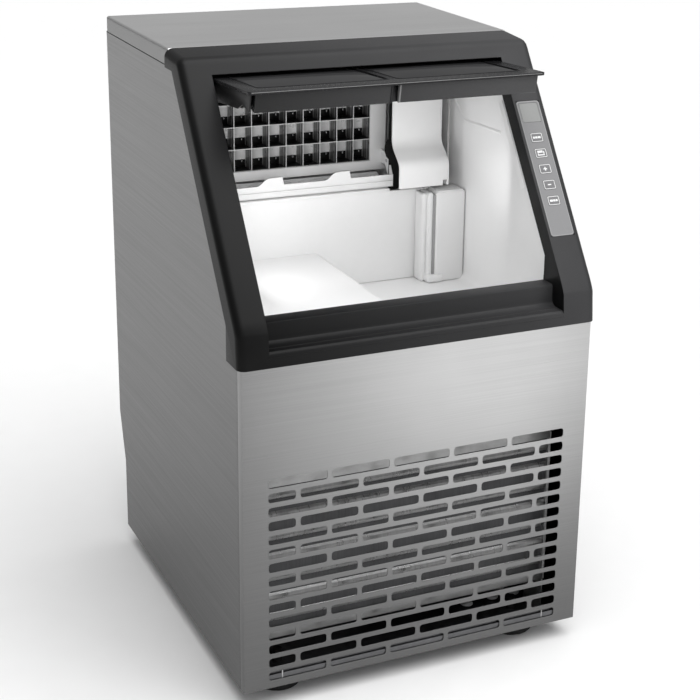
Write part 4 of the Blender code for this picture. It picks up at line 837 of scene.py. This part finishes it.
def build_bezel():
    """The moulded frame: a rounded shell, a stepped sill and walls that reach in at the mouth."""
    face = curved_line()
    side_top = case_box("left_side_panel")[1].z
    rear = [
        (LID_FRONT, side_top - 0.0012),
        slope_at_height(side_top - 0.0012, 0.026),
        slope_at_depth(0.032, 0.026),
        (0.032, BEZEL_LOW),
    ]
    face_points = [Vector(p) for p in face]

    def on_face(a, b):
        if abs(abs(a.x) - BEZEL_HALF) > 1e-6 or abs(a.x - b.x) > 1e-6:
            return False
        near = [min((Vector((p.y, p.z)) - f).length for f in face_points) < 1e-6 for p in (a, b)]
        return all(near)

    shell = prism(
        "bezel", face + rear, -BEZEL_HALF, BEZEL_HALF, BLACK_MOULD, "x", 0.0085, 5, None, on_face
    )
    inner = offset_line(face, BEZEL_WALL)
    inner[0] = (inner[0][0], BEZEL_LOW - 0.02)
    inner[-1] = (LID_FRONT + 0.02, inner[-1][1])
    room = inner + [(LID_FRONT + 0.02, BEZEL_LOW - 0.02)]
    reach = HALF_WIDTH + SEAM
    hollow = prism("bezel_room", room, -reach, reach, None, "x", 0.005, 3, None, None)
    cut(shell, hollow)
    mouth_front = [
        (-0.05, LEDGE_HEIGHT - 0.002),
        (0.03, LEDGE_HEIGHT - 0.002),
        slope_point(0.02, 0.03),
        slope_point(OPENING_TOP + 0.01, 0.03),
        slope_point(OPENING_TOP + 0.003, BEZEL_WALL),
        slope_point(OPENING_TOP, 0.0015),
        slope_point(OPENING_TOP, -0.02),
        (-0.05, KNEE[1]),
    ]
    wall_low = LEDGE_HEIGHT - 0.004
    wall = [
        (0.0015, wall_low),
        (BEZEL_WALL / 2, KNEE[1] - 0.008),
        slope_point(0.001, BEZEL_WALL / 2),
        slope_point(OPENING_TOP + 0.004, BEZEL_WALL / 2),
        slope_point(OPENING_TOP + 0.004, 0.018),
        slope_at_depth(SILL_BACK, 0.018),
        (SILL_BACK, SILL_HEIGHT - BEZEL_WALL),
        (SILL_FRONT + BEZEL_WALL, SILL_HEIGHT - BEZEL_WALL),
        (SILL_FRONT + BEZEL_WALL, wall_low),
    ]
    left = OPENING_LEFT
    right = OPENING_RIGHT
    add(
        shell,
        prism("wall_left", wall, left - BEZEL_WALL, left + 0.0002, None),
        prism("wall_right", wall, right - 0.0002, right + BEZEL_WALL, None),
    )
    cut(shell, prism("bezel_mouth", mouth_front, left, right, None, "x"))
    rail = [
        (-0.0023, LEDGE_HEIGHT - 0.0052),
        (-0.0012, LEDGE_HEIGHT - 0.0016),
        (0.0012, LEDGE_HEIGHT),
        (SILL_FRONT - 0.008, LEDGE_HEIGHT),
        (SILL_FRONT - 0.004, LEDGE_HEIGHT + 0.0008),
        (SILL_FRONT - 0.0012, LEDGE_HEIGHT + 0.003),
        (SILL_FRONT, LEDGE_HEIGHT + 0.0065),
        (SILL_FRONT, SILL_HEIGHT - 0.0025),
        (SILL_FRONT + 0.0007, SILL_HEIGHT - 0.0007),
        (SILL_FRONT + 0.0025, SILL_HEIGHT),
        (SILL_BACK - 0.001, SILL_HEIGHT),
        (SILL_BACK, SILL_HEIGHT - 0.001),
        (SILL_BACK, SILL_HEIGHT - BEZEL_WALL),
        (SILL_FRONT + BEZEL_WALL, SILL_HEIGHT - BEZEL_WALL),
        (SILL_FRONT + BEZEL_WALL, LEDGE_HEIGHT - BEZEL_WALL),
        (0.0, LEDGE_HEIGHT - BEZEL_WALL),
        (-0.001, LEDGE_HEIGHT - 0.0065),
    ]
    sill = prism("bezel_sill", rail, left - 0.001, right + 0.001, BLACK_MOULD)
    pocket = block(
        "panel_pocket", (0.1578, 0.0527, -0.0020), (0.1852, 0.2033, 0.01), None, 0.0, 3, ON_SLOPE
    )
    cut(shell, pocket)
    pin_low, pin_high = case_box("guide_pin_left")
    slot = (pin_high.z - pin_low.z) / 2 + 0.0006
    for side, wall_in, wall_out in (
        ("left", left + 0.001, left - 0.005), ("right", right - 0.001, right + 0.005)
    ):
        channel = block(
            "pin_slot_" + side,
            (min(wall_in, wall_out), PIN_CLOSED - slot, -PIN_DROP - slot),
            (max(wall_in, wall_out), OPENING_TOP + 0.02, -PIN_DROP + slot),
            None, 0.0, 3, ON_SLOPE,
        )
        cut(shell, channel)
    goes_with(shell, "cabinet", "window_frame")
    goes_with(sill, "cabinet", "window_frame")
    groove = swept(
        "bezel_sill_bead",
        [
            (left + 0.001, 0.0082, LEDGE_HEIGHT + 0.0001),
            (right - 0.001, 0.0082, LEDGE_HEIGHT + 0.0001),
        ],
        0.0006,
        BLACK_MOULD,
    )
    goes_with(groove, "cabinet")


# Control panel


PANEL_X = 0.1715
KEY_HALF = 0.0068


def flat_ring(name, left, low, right, high, radius, line, thick, level, paint, place):
    """A thin rounded rectangular line that stands a little off a face."""
    outer = round_corners(rectangle(left, low, right, high), radius, 5)
    inner = round_corners(
        rectangle(left + line, low + line, right - line, high - line), max(radius - line, 0.0003),
        5,
    )
    shape = bmesh.new()
    for height in (level, level + thick):
        for loop in (outer, inner):
            for x, y in loop:
                shape.verts.new((x, y, height))
    shape.verts.ensure_lookup_table()
    count = len(outer)
    for i in range(count):
        j = (i + 1) % count
        a, b, c, d = (k * count for k in range(4))
        v = shape.verts
        shape.faces.new((v[c + i], v[c + j], v[d + j], v[d + i]))
        shape.faces.new((v[a + i], v[b + i], v[b + j], v[a + j]))
        shape.faces.new((v[a + i], v[a + j], v[c + j], v[c + i]))
        shape.faces.new((v[b + i], v[d + i], v[d + j], v[b + j]))
    return finished(name, shape, paint, place)


def on_panel(half, low, high, radius, steps=5):
    """A rounded outline centred across the control panel."""
    return round_corners(rectangle(PANEL_X - half, low, PANEL_X + half, high), radius, steps)


def up_the_slope(node_name):
    low, high = case_box(node_name)
    middle = (low + high) / 2
    return (middle.y - KNEE[0]) * math.sin(SLOPE) + (middle.z - KNEE[1]) * math.cos(SLOPE)


def build_controls():
    """The grey film with its border line, the display and five keys with printed signs."""
    half = 0.0135
    low = 0.0530
    high = low + 0.1500
    sunk = -0.0009
    inset = half - 0.0005
    film = prism(
        "panel_film", on_panel(half, low, high, 0.0035), sunk, 0.0, FILM, "z", 0.00015, 1, ON_SLOPE
    )
    border = flat_ring(
        "panel_line", PANEL_X - inset, low + 0.0005, PANEL_X + inset, high - 0.0005,
        0.0031, 0.0004, 0.00006, 0.00002, FILM_LINE, ON_SLOPE,
    )
    goes_with(border, "cabinet")
    places = {name: up_the_slope(name) for name in frame["nodes"] if name.startswith("key_")}
    tools = []
    for name, along in places.items():
        loop = on_panel(KEY_HALF + 0.00025, along - 0.00525, along + 0.00525, 0.0018, 4)
        tools.append(prism(name + "_tool", loop, -0.002, 0.002, None, "z", 0, 1, ON_SLOPE))
    spot = up_the_slope("display_window")
    loop = on_panel(0.01105, spot - 0.00975, spot + 0.01225, 0.002, 4)
    tools.append(prism("display_tool", loop, -0.002, 0.002, None, "z", 0, 1, ON_SLOPE))
    cut(film, *tools)
    goes_with(film, "cabinet", "control_overlay")
    loop = on_panel(0.0108, spot - 0.0095, spot + 0.0120, 0.0019)
    glass = prism("display_glass", loop, sunk, 0.00005, LCD, "z", 0.00015, 1, ON_SLOPE)
    goes_with(glass, "cabinet", "display_window")
    top = 0.00021
    print_half = KEY_HALF - 0.0003
    for name, along in places.items():
        loop = on_panel(KEY_HALF, along - 0.0050, along + 0.0050, 0.0016)
        cap = prism(name + "_cap", loop, sunk, 0.0002, FILM_KEY, "z", 0.00018, 2, ON_SLOPE)
        goes_with(cap, name, name)
        ring = flat_ring(
            name + "_line", PANEL_X - print_half, along - 0.0047, PANEL_X + print_half,
            along + 0.0047, 0.0015, 0.0006, 0.00008, top, PRINT, ON_SLOPE,
        )
        goes_with(ring, name)
        for i, (a, b, c, d) in enumerate(key_symbol(name)):
            start = (PANEL_X + a, along + b, top)
            end = (PANEL_X + c, along + d, top + 0.00008)
            part = block("%s_mark_%d" % (name, i), start, end, PRINT, 0, 1, ON_SLOPE)
            goes_with(part, name)


def key_symbol(name):
    """Bars (left, low, right, high) that draw a key's sign, from the key's middle."""
    t = 0.0006
    row = [
        (-0.0044, -0.0011, -0.0024, 0.0011), (-0.0019, -0.0011, 0.0007, 0.0011),
        (0.0012, -0.0011, 0.0044, 0.0011),
    ]
    signs = {
        "key_plus": [(-0.0021, -t, 0.0021, t), (-t, -0.0021, t, -t), (-t, t, t, 0.0021)],
        "key_minus": [(-0.0020, -t, 0.0020, t)],
        "key_timer": [
            (-0.0040, 0.0004, 0.0022, 0.0028),
            (-0.0040, -0.0026, -0.0030, 0.0000),
            (-0.0030, -0.0026, 0.0040, -0.0014),
            (0.0028, -0.0010, 0.0040, 0.0020),
        ],
        "key_power": row,
        "key_clean": [(-r, low, -left, high) for left, low, r, high in row],
    }
    return signs[name]


# Door


def build_door():
    """The tinted door: a rounded plate with two inset panes, side walls and a split handle lip."""
    half = (OPENING_RIGHT - OPENING_LEFT) / 2 - 0.002
    rear = 0.018
    front = rear - 0.2715
    face = 0.012
    outline = round_corners(rectangle(-half, front, half, rear), 0.0045, 5)
    plate = prism(
        "door_plate", outline, face - 0.0032, face, BLACK_GLOSS, "z", 0.0010, 3, ON_DOOR
    )
    bar = 0.006
    panes = (("left", -half + 0.018, -bar), ("right", bar, half - 0.018))
    tools = []
    for side, left, right in panes:
        loop = round_corners(rectangle(left, front + 0.022, right, rear - 0.022), 0.006, 5)
        tools.append(
            prism("pane_tool_" + side, loop, face - 0.0009, face + 0.01, None, "z", 0, 1, ON_DOOR)
        )
    cut(plate, *tools)
    goes_with(plate, "door", "door_frame")
    for side, left, right in panes:
        gap = 0.0012
        loop = round_corners(
            rectangle(left + gap, front + 0.022 + gap, right - gap, rear - 0.022 - gap), 0.005, 5
        )
        pane = prism(
            "door_pane_" + side, loop, face - 0.0012, face - 0.0004, SMOKED, "z", 0.0003, 2,
            ON_DOOR,
        )
        goes_with(pane, "door", "door_window")
        rim = flat_ring(
            "door_rim_" + side, left - 0.0022, front + 0.0198, right + 0.0022, rear - 0.0198,
            0.007, 0.0014, 0.0005, face - 0.0001, SMOKED, ON_DOOR,
        )
        goes_with(rim, "door")
    # Painted highlight: a grey bead along the door plate's front edge.
    edge = swept(
        "door_front_edge_highlight",
        [
            (-half + 0.003, front + 0.0006, face - 0.0012),
            (half - 0.004, front + 0.0006, face - 0.0012),
        ],
        0.0007, DOOR_EDGE_HIGHLIGHT, ON_DOOR,
    )
    goes_with(edge, "door", "door_frame")
    under = face - 0.0030
    drop = 0.0210
    outer = half - 0.0035
    inset = half - 0.008
    lip = front + 0.0065
    back_drop = 0.0280
    wall = 0.0025
    side_shape = [
        (lip, under),
        (rear - 0.0015, under),
        (rear - 0.0015, face - back_drop + 0.002),
        (rear - 0.006, face - back_drop),
        (lip + 0.0355, face - 0.0215),
        (lip + 0.0220, face - 0.0160),
        (lip + 0.0110, face - 0.0185),
        (lip + 0.004, face - drop),
        (lip, face - drop + 0.003),
    ]
    for side, low, high in (("left", -inset, -inset + wall), ("right", inset - wall, inset)):
        piece = prism(
            "door_wall_" + side, side_shape, low, high, BLACK_GLOSS, "x", 0.0007, 2, ON_DOOR
        )
        hole = turned(
            "pin_tool", [(0, -0.1), (0.003, -0.1), (0.003, 0.1), (0, 0.1)], None,
            ((low + high) / 2, 0, 0), "x", 20, ON_DOOR,
        )
        cut(piece, hole)
        goes_with(piece, "door", "door_frame")
    middle = -0.010 - PIN.x
    lip_shape = [
        (front + 0.0022, under),
        (lip - 0.0004, face - drop + 0.0012),
        (lip + 0.0006, face - drop),
        (lip + 0.0022, face - drop + 0.0006),
        (lip + 0.0026, face - drop + 0.0020),
        (front + 0.0055, under),
    ]
    for side, left, right in (
        ("left", -outer + 0.004, middle - 0.0045), ("right", middle + 0.0045, inset + 0.0005)
    ):
        piece = prism(
            "door_lip_" + side, lip_shape, left, right, BLACK_MOULD_DOOR, "x", 0.0005, 2, ON_DOOR
        )
        goes_with(piece, "door", "door_frame")
    notch = block(
        "door_lip_notch", (middle - 0.005, lip + 0.0022, face - drop + 0.001), (
            middle + 0.005, lip + 0.0040, under
        ),
        BLACK_GLOSS, 0.0003, 2, ON_DOOR,
    )
    goes_with(notch, "door", "door_frame")
    # Painted highlight: the right ridge beside the notch is grey, the left one black.
    for i, x in enumerate((middle - 0.0045, middle + 0.0045)):
        ridge_shape = [(y - 0.0006, z) for y, z in lip_shape[:3]] + [
            (y + 0.001, z) for y, z in lip_shape[3:]
        ]
        ridge = prism(
            "door_lip_ridge_%d" % i, ridge_shape, x - 0.0008, x + 0.0008,
            DOOR_EDGE_HIGHLIGHT if i else BLACK_GLOSS, "x", 0.0003, 2, ON_DOOR,
        )
        goes_with(ridge, "door")
    cheek = [
        (front + 0.0050, under),
        (front + 0.230, under),
        (front + 0.230, face - back_drop + 0.0015),
        (lip + 0.0355, face - 0.0215),
        (lip + 0.0220, face - 0.0160),
        (lip + 0.0110, face - 0.0185),
        (lip + 0.006, face - drop),
        (lip + 0.0035, face - drop + 0.0012),
    ]
    piece = prism(
        "door_cheek_left", cheek, -outer, -outer + 0.0016, BLACK_MOULD_DOOR, "x", 0.0005, 2,
        ON_DOOR,
    )
    goes_with(piece, "door")


# Bin and what stands in it


def build_liner():
    """The seamless bin: soft inner corners, a raised floor at its left, a bead on each side."""
    wall = 0.0025
    low, high = case_box("bin_liner")
    floor = low.z + wall
    back = high.y - wall
    front = low.y + wall
    under_sill = SILL_HEIGHT - BEZEL_WALL - SEAM
    reach = 0.018 + SEAM
    shell = [
        (low.y, low.z),
        (high.y, low.z),
        (high.y, high.z),
        slope_at_height(high.z, reach),
        slope_at_depth(SILL_BACK + SEAM, reach),
        (SILL_BACK + SEAM, under_sill),
        (low.y, under_sill),
    ]
    liner = prism("liner", shell, low.x, high.x, LINER_WHITE)

    def soft(a, b):
        upright = abs(a.x - b.x) < 1e-6 and abs(a.y - b.y) < 1e-6
        at_floor = a.z < floor + 1e-4 and b.z < floor + 1e-4
        return upright or at_floor

    room = block(
        "liner_room", (low.x + wall, front, floor), (high.x - wall, back, high.z + 0.08), None,
        0.010, 5, None, soft,
    )
    cut(liner, room)
    clear = block(
        "liner_clear", (low.x + wall, front - 0.03, under_sill + 0.0002),
        (high.x - wall, front + 0.02, 0.6), None,
    )
    cut(liner, clear)
    goes_with(liner, "cabinet", "bin_liner")

    raised = 0.3680
    edge = -0.0055
    run = 0.0210
    deep = case_box("water_tank")[0].y - SEAM
    step = [
        (low.x + wall - 0.0005, floor - 0.001),
        *[
            (
                edge + run + 0.010 - (run + 0.022) * k / 14,
                floor - 0.001 + (raised - floor + 0.001) * (
                    3 * (k / 14) ** 2 - 2 * (k / 14) ** 3
                ),
            )
            for k in range(15)
        ],
        (low.x + wall - 0.0005, raised),
    ]
    plateau = prism("liner_step", step, front - 0.001, deep, LINER_WHITE, "y")
    goes_with(plateau, "cabinet", "bin_liner")
    for side, x in (("right", high.x - wall), ("left", low.x + wall)):
        path = bent(
            [(x, 0.2590, 0.5560), (x, 0.2500, 0.5240), (x, 0.2271, 0.5074), (x, 0.1440, 0.5105)],
            0.012, 6,
        )
        out = -1 if side == "right" else 1
        spots = [Vector((p[0] - out * 0.0022, p[1], p[2])) for p in path]
        bead = swept("liner_bead_" + side, spots, 0.0030, LINER_WHITE)
        goes_with(bead, "cabinet")
        lap = [
            slope_point(0.115, 0.0190),
            slope_point(0.117, 0.0300),
            slope_point(0.214, 0.0270),
            slope_point(0.214, 0.0190),
        ]
        near, far = sorted((x, x + out * 0.0011))
        band = prism(
            "liner_lap_" + side, round_corners(lap, 0.003, 4), near, far, LINER_WHITE, "x",
            0.0004, 2,
        )
        goes_with(band, "cabinet")


def build_tank():
    low, high = case_box("water_tank")

    def upright(a, b):
        return abs(a.x - b.x) < 1e-6 and abs(a.y - b.y) < 1e-6

    tank = block("tank", low, high, PART_WHITE, 0.005, 4, None, upright)
    wall = 0.0025
    step = Vector((wall, wall, wall))
    room = block("tank_room", low + step, high - step + Vector((0, 0, 0.02)), None, 0.004, 4)
    cut(tank, room)
    soften(tank, 0.0008, 2, 40)
    goes_with(tank, "cabinet", "water_tank")


def build_pump_housing():
    low, high = case_box("pump_housing")
    fixed(
        "housing_body", (low.x + 0.0145, low.y, low.z), (high.x, high.y, high.z), PART_WHITE,
        0.0022, 3, "pump_housing",
    )
    fixed(
        "housing_channel", (low.x + 0.0115, low.y + 0.0022, low.z + 0.004),
        (low.x + 0.0160, high.y, high.z - 0.003), GREY_TRIM, 0.0008, 2, "pump_housing",
    )
    for i, (a, b, front, top) in enumerate(
        ((0.0, 0.0062, 0.0070, 0.0018), (0.0056, 0.0122, 0.0030, 0.0008))
    ):
        fixed(
            "housing_column_%d" % i, (low.x + a, low.y + front, low.z),
            (low.x + b, high.y, high.z - top), PART_WHITE, 0.0024, 4, "pump_housing",
        )
    fixed(
        "housing_plinth", (low.x + 0.004, low.y - 0.003, low.z),
        (low.x + 0.024, high.y, low.z + 0.009), PART_WHITE, 0.003, 4,
    )
    fixed(
        "housing_cap", (low.x + 0.0165, low.y + 0.0016, high.z - 0.001),
        (high.x - 0.002, high.y, high.z + 0.0010), PART_WHITE, 0.0009, 2,
    )
    fixed(
        "housing_gap", (high.x - 0.0001, low.y + 0.004, low.z),
        (high.x + 0.0008, high.y, high.z - 0.001), DARK_SEAM, 0.0002, 1,
    )


def build_upper_cover():
    low, high = case_box("upper_cover")
    back_step = 0.021
    line = [
        (low.y, low.z),
        (low.y, 0.4640),
        (low.y + back_step, 0.4820),
        (low.y + back_step, high.z),
    ]
    smooth = [line[0], *eased(line[0:3], 0.008, 8), *eased(line[1:4], 0.009, 8), line[3]]
    inner = offset_line(smooth, 0.002)

    def side_edge(a, b):
        if abs(a.x - b.x) > 1e-6:
            return False
        flats = [(Vector((p.y, p.z)) - Vector(q)).length < 1e-6 for p in (a, b) for q in smooth]
        return sum(flats) == 2

    skin = prism(
        "upper_shell", smooth + inner[::-1], low.x, high.x, PART_WHITE, "x", 0.0018, 3, None,
        side_edge,
    )
    notch = block(
        "cover_notch", (high.x - 0.0072, low.y - 0.01, low.z - 0.01),
        (high.x + 0.01, low.y + 0.004, low.z + 0.0060), None,
    )
    cut(skin, notch)
    goes_with(skin, "cabinet", "upper_cover")
    flank = smooth + [(high.y, high.z), (high.y, low.z)]
    side = prism("upper_flank", flank, high.x - 0.002, high.x, PART_WHITE, "x")
    goes_with(side, "cabinet", "upper_cover")
    fixed(
        "upper_roof", (low.x, low.y + back_step, high.z - 0.002), (high.x, high.y, high.z),
        PART_WHITE, 0.0006, 2, "upper_cover",
    )
    fixed(
        "upper_edge_line", (high.x - 0.0001, low.y + 0.0025, low.z + 0.006),
        (high.x + 0.0007, low.y + 0.006, high.z), GREY_TRIM, 0.0002, 1,
    )


def build_cells():
    """A bright drop of water or solder low on the back of each freezing cell."""
    low, high = case_box("evaporator_grid")
    width = (high.x - low.x) / CELL_COLUMNS
    height = (high.z - low.z) / CELL_ROWS
    drops = []
    for column in range(CELL_COLUMNS):
        for row in range(CELL_ROWS):
            spot = (
                low.x + (column + 0.74) * width, high.y - 0.0042, low.z + (row + 0.30) * height
            )
            profile = [
                (0, -0.0018), (0.0009, -0.0011), (0.0011, 0), (0.0007, 0.0014), (0, 0.0026)
            ]
            drops.append(turned("drop_%d_%d" % (column, row), profile, SCREW, spot, "z", 12))
    drops = as_one("cell_drops", drops)
    goes_with(drops, "cabinet")


def build_flap_details():
    """The black bracket right of the evaporator, and the bosses that the ice flap hangs from."""
    surround_low = case_box("evaporator_surround")[0]
    cover_left = case_box("upper_cover")[0].x
    for node_name, side in (("flap_pin_left", "left"), ("flap_pin_right", "right")):
        pin_low, pin_high = case_box(node_name)
        middle = (pin_low + pin_high) / 2
        start = pin_high.x - 0.0020 if side == "right" else pin_low.x - 0.0016
        profile = [(0, 0), (0.0036, 0), (0.0036, 0.0030), (0.0028, 0.0036), (0, 0.0036)]
        spot = (start, middle.y, middle.z)
        boss = turned("flap_boss_" + side, profile, PART_WHITE, spot, "x", 28)
        goes_with(boss, "cabinet")
    plate = [
        (cover_left + 0.0012, 0.4290),
        (cover_left + 0.022, 0.4290),
        (cover_left + 0.022, 0.5540),
        (cover_left + 0.0012, 0.5540),
        (cover_left + 0.0012, 0.4860),
        (cover_left - 0.0022, 0.4835),
        (cover_left - 0.0034, 0.4780),
        (cover_left - 0.0034, 0.4720),
        (cover_left - 0.0012, 0.4660),
        (cover_left + 0.0016, 0.4630),
    ]
    front = surround_low.y - 0.0016
    bracket = prism("flap_bracket", plate, front, front + 0.0012, DARK_SEAM, "y", 0.0003, 1)
    goes_with(bracket, "cabinet")
    tank_low, tank_high = case_box("water_tank")
    fixed(
        "tank_lip", (tank_low.x + 0.004, tank_low.y + 0.0002, tank_high.z - 0.0008),
        (cover_left - 0.002, tank_low.y + 0.0048, tank_high.z + 0.0028), PART_WHITE, 0.0008, 3,
    )


# Behind the grille


def build_condenser():
    low, high = case_box("condenser")
    core_top = 0.212
    core_low = 0.044
    fixed(
        "condenser_fins", (low.x + 0.0016, low.y + 0.0035, core_low),
        (high.x - 0.0016, high.y, core_top), FINS, 0.0006, 2, "condenser",
    )
    tubes = []
    pitch = 0.0222
    first = 0.1990
    for i in range(7):
        z = first - pitch * i
        tube = swept(
            "tube_%d" % i,
            [(low.x + 0.002, low.y + 0.0050, z), (high.x - 0.002, low.y + 0.0050, z)], 0.0048,
            FIN_TUBE,
        )
        tubes.append(tube)
    goes_with(as_one("condenser_tubes", tubes), "cabinet", "condenser")
    for side, x in (("left", low.x), ("right", high.x - 0.0015)):
        fixed(
            "condenser_side_" + side, (x, low.y, low.z),
            (x + 0.0015, high.y - 0.001, core_top + 0.004), HOOD, 0.0004, 2, "condenser",
        )
    fixed(
        "condenser_rail", (low.x, low.y, core_low - 0.001),
        (high.x, low.y + 0.0025, core_low + 0.0085), RAIL, 0.0006, 2, "condenser",
    )
    fixed(
        "condenser_hood", (low.x, low.y, core_top - 0.0035), (high.x, low.y + 0.0020, high.z),
        HOOD, 0.0006, 2, "condenser",
    )
    fixed(
        "condenser_flange", (high.x + 0.0002, low.y + 0.012, low.z + 0.010),
        (high.x + 0.0062, low.y + 0.0135, core_top), RAIL, 0.0004, 2,
    )
    fixed(
        "condenser_edge", (high.x - 0.0002, low.y - 0.0004, core_low),
        (high.x + 0.0012, low.y + 0.0008, core_top + 0.004), HOOD, 0.0003, 2,
    )
    pan_low = case_box("base_pan")[0]
    fixed(
        "pan_skirt", (-0.176, pan_low.y + 0.0024, 0.001), (0.176, pan_low.y + 0.0034, 0.0190),
        PAN_STEEL_PAINTED_SHADE, 0.0004, 2,
    )
    for side, x in (("left", -0.1490), ("right", 0.1490)):
        fixed(
            "pan_tab_" + side, (x - 0.0006, pan_low.y - 0.0004, 0.0085),
            (x + 0.0006, pan_low.y + 0.0022, 0.0172), HOOD, 0.0003, 2,
        )
    for i, (x, y) in enumerate(
        ((0.1545, 0.0720), (0.1270, 0.0712), (0.1440, 0.0880), (0.0940, 0.0690))
    ):
        profile = [
            (0, 0), (0.0068, 0), (0.0068, 0.0010), (0.0055, 0.0022), (0.0030, 0.0026), (0, 0.0027)
        ]
        plug = turned("pan_plug_%d" % i, profile, PART_WHITE, (x, y, 0.0024), "z", 28)
        goes_with(plug, "cabinet")
    bends = []
    for i in range(0, 6, 2):
        top = first - pitch * i
        below = top - pitch
        x = high.x
        y = low.y + 0.022
        path = bent(
            [
                (x - 0.002, y, top), (x + 0.0085, y, top), (x + 0.0085, y, below),
                (x - 0.002, y, below),
            ],
            0.006, 5,
        )
        bends.append(swept("bend_%d" % i, path, 0.0034, COPPER))
    goes_with(as_one("condenser_bends", bends), "cabinet")


def build_compressor_details():
    low, high = case_box("compressor")
    middle = (low + high) / 2
    fixed(
        "compressor_cap", (middle.x - 0.020, low.y - 0.012, low.z + 0.055),
        (middle.x + 0.020, low.y + 0.010, low.z + 0.105), BLACK_MOULD, 0.004, 4,
    )
    seam = turned(
        "compressor_weld",
        [(0.0625, 0.0), (0.0638, 0.0008), (0.0638, 0.0022), (0.0625, 0.003)],
        BLACK_PAINT,
        (middle.x, middle.y, low.z + 0.0755),
        "z",
        48,
    )
    goes_with(seam, "cabinet")


# Finishes of the nodes that are kept


KEPT = (
    (SIDE_STEEL_PAINTED_SHADE, "left_side_panel right_side_panel"),
    (TOP_STEEL_PAINTED_LIGHT_AND_SHADE, "top_cover"),
    (ZINC, "back_panel compressor_mount control_box fan_shroud motor_bracket"),
    (PAN_STEEL_PAINTED_SHADE, "base_pan"),
    (FAN_METAL, "condenser_fan"),
    (RUBBER, "foot_front_left foot_front_right foot_rear_left foot_rear_right"),
    (SCREW, "guide_pin_left guide_pin_right flap_pin_left flap_pin_right water_inlet"),
    (
        PART_WHITE,
        "door_track_left door_track_right pump_impeller water_riser float_stem float_body "
        "evaporator_surround water_distributor ice_slide ice_flap inlet_valve",
    ),
    (FOAM, "foam_left foam_right"),
    (BLACK_MOULD, "circulation_pump ice_sensor drain_outlet mains_socket"),
    (CELLS, "evaporator_grid"),
    (COPPER, "evaporator_coil filter_drier discharge_tube suction_tube liquid_tube"),
    (BLACK_PAINT, "fan_motor compressor"),
)


def finish_nodes():
    for finish, names in KEPT:
        for name in names.split():
            obj = paint_node(name, finish)
            if name in ("ice_flap", "evaporator_surround", "ice_slide"):
                soften(obj, 0.0004, 2, 40)


# Stage, light and camera


def build_stage():
    shape = bmesh.new()
    bmesh.ops.create_circle(shape, cap_ends=True, segments=64, radius=7.0)
    bmesh.ops.translate(shape, vec=-ORIGIN, verts=shape.verts)
    paper = surface(
        "floor_paper", (0.86, 0.86, 0.86), 0.75, 0.0, 0.01, (1, 1, 1), 30.0, 0.01, 2.0
    )
    floor = finished("floor", shape, paper)


def area_light(name, location, target, size, power):
    lamp = bpy.data.lights.new(name, "AREA")
    lamp.shape = "RECTANGLE"
    lamp.size = size[0]
    lamp.size_y = size[1]
    lamp.energy = power
    holder = bpy.data.objects.new(name, lamp)
    holder.location = location
    aim = Vector(target) - Vector(location)
    holder.rotation_euler = aim.to_track_quat("-Z", "Y").to_euler()
    bpy.context.scene.collection.objects.link(holder)
    return holder


def build_light():
    bpy.context.scene.view_settings.view_transform = "Standard"
    world = bpy.data.worlds.new("studio")
    bpy.context.scene.world = world
    world.use_nodes = True
    tree = world.node_tree
    background = tree.nodes["Background"]
    where = node(tree, "ShaderNodeTexCoord")
    split = node(tree, "ShaderNodeSeparateXYZ")
    link(tree, where.outputs["Generated"], split.inputs[0])
    depth = node(
        tree, "ShaderNodeMapRange", From_Min=-1.0, From_Max=1.0, To_Min=0.55, To_Max=0.30
    )
    link(tree, split.outputs[1], depth.inputs["Value"])
    link(tree, depth.outputs["Result"], background.inputs["Color"])
    background.inputs["Strength"].default_value = 1.0
    sun = bpy.data.lights.new("overhead", "SUN")
    sun.energy = 2.6
    sun.angle = math.radians(60)
    overhead = bpy.data.objects.new("overhead", sun)
    overhead.rotation_euler = Vector((-0.10, 0.30, -1.0)).to_track_quat("-Z", "Y").to_euler()
    bpy.context.scene.collection.objects.link(overhead)
    area_light("key", (1.1, -1.9, 1.5), (0, 0, 0.35), (1.0, 1.0), 6)
    for name, spot, target, size, power in (
        ("bin_down", (0.0, 0.165, 0.553), (0.0, 0.165, 0.0), (0.29, 0.12), 0.02),
        ("bin_back", (-0.005, 0.115, 0.470), (-0.005, 1.0, 0.440), (0.29, 0.07), 0.100),
        ("bin_right", (-0.120, 0.150, 0.455), (1.0, 0.150, 0.445), (0.10, 0.12), 0.095),
    ):
        holder = area_light(name, ORIGIN + Vector(spot), ORIGIN + Vector(target), size, power)
        holder.visible_camera = False
        holder.visible_glossy = False


def build_camera():
    """The view: slightly from the left and above, with the long lens of a product picture."""
    yaw = math.radians(26.42)
    pitch = math.radians(17.86)
    roll = math.radians(1.47)
    forward = Vector(
        (math.sin(yaw) * math.cos(pitch), math.cos(yaw) * math.cos(pitch), -math.sin(pitch))
    )
    across = Vector((math.cos(yaw), -math.sin(yaw), 0))
    up = across.cross(forward)
    right = across * math.cos(roll) + up * math.sin(roll)
    top = up * math.cos(roll) - across * math.sin(roll)
    lens = bpy.data.cameras.new("view")
    lens.sensor_width = 36
    lens.lens = 82.44
    lens.shift_x = -0.1
    lens.shift_y = -0.1
    lens.clip_end = 50
    camera = bpy.data.objects.new("view", lens)
    turn = Matrix((right, top, -forward)).transposed().to_4x4()
    camera.matrix_world = Matrix.Translation(ORIGIN + Vector((-0.6587, -1.3106, 0.8809))) @ turn
    bpy.context.scene.collection.objects.link(camera)
    bpy.context.scene.camera = camera


def main():
    finish_nodes()
    build_front_panel()
    build_cover_gasket()
    build_screws()
    build_bezel()
    build_controls()
    build_door()
    build_liner()
    build_tank()
    build_pump_housing()
    build_upper_cover()
    build_cells()
    build_flap_details()
    build_condenser()
    build_compressor_details()
    build_stage()
    build_light()
    build_camera()


main()
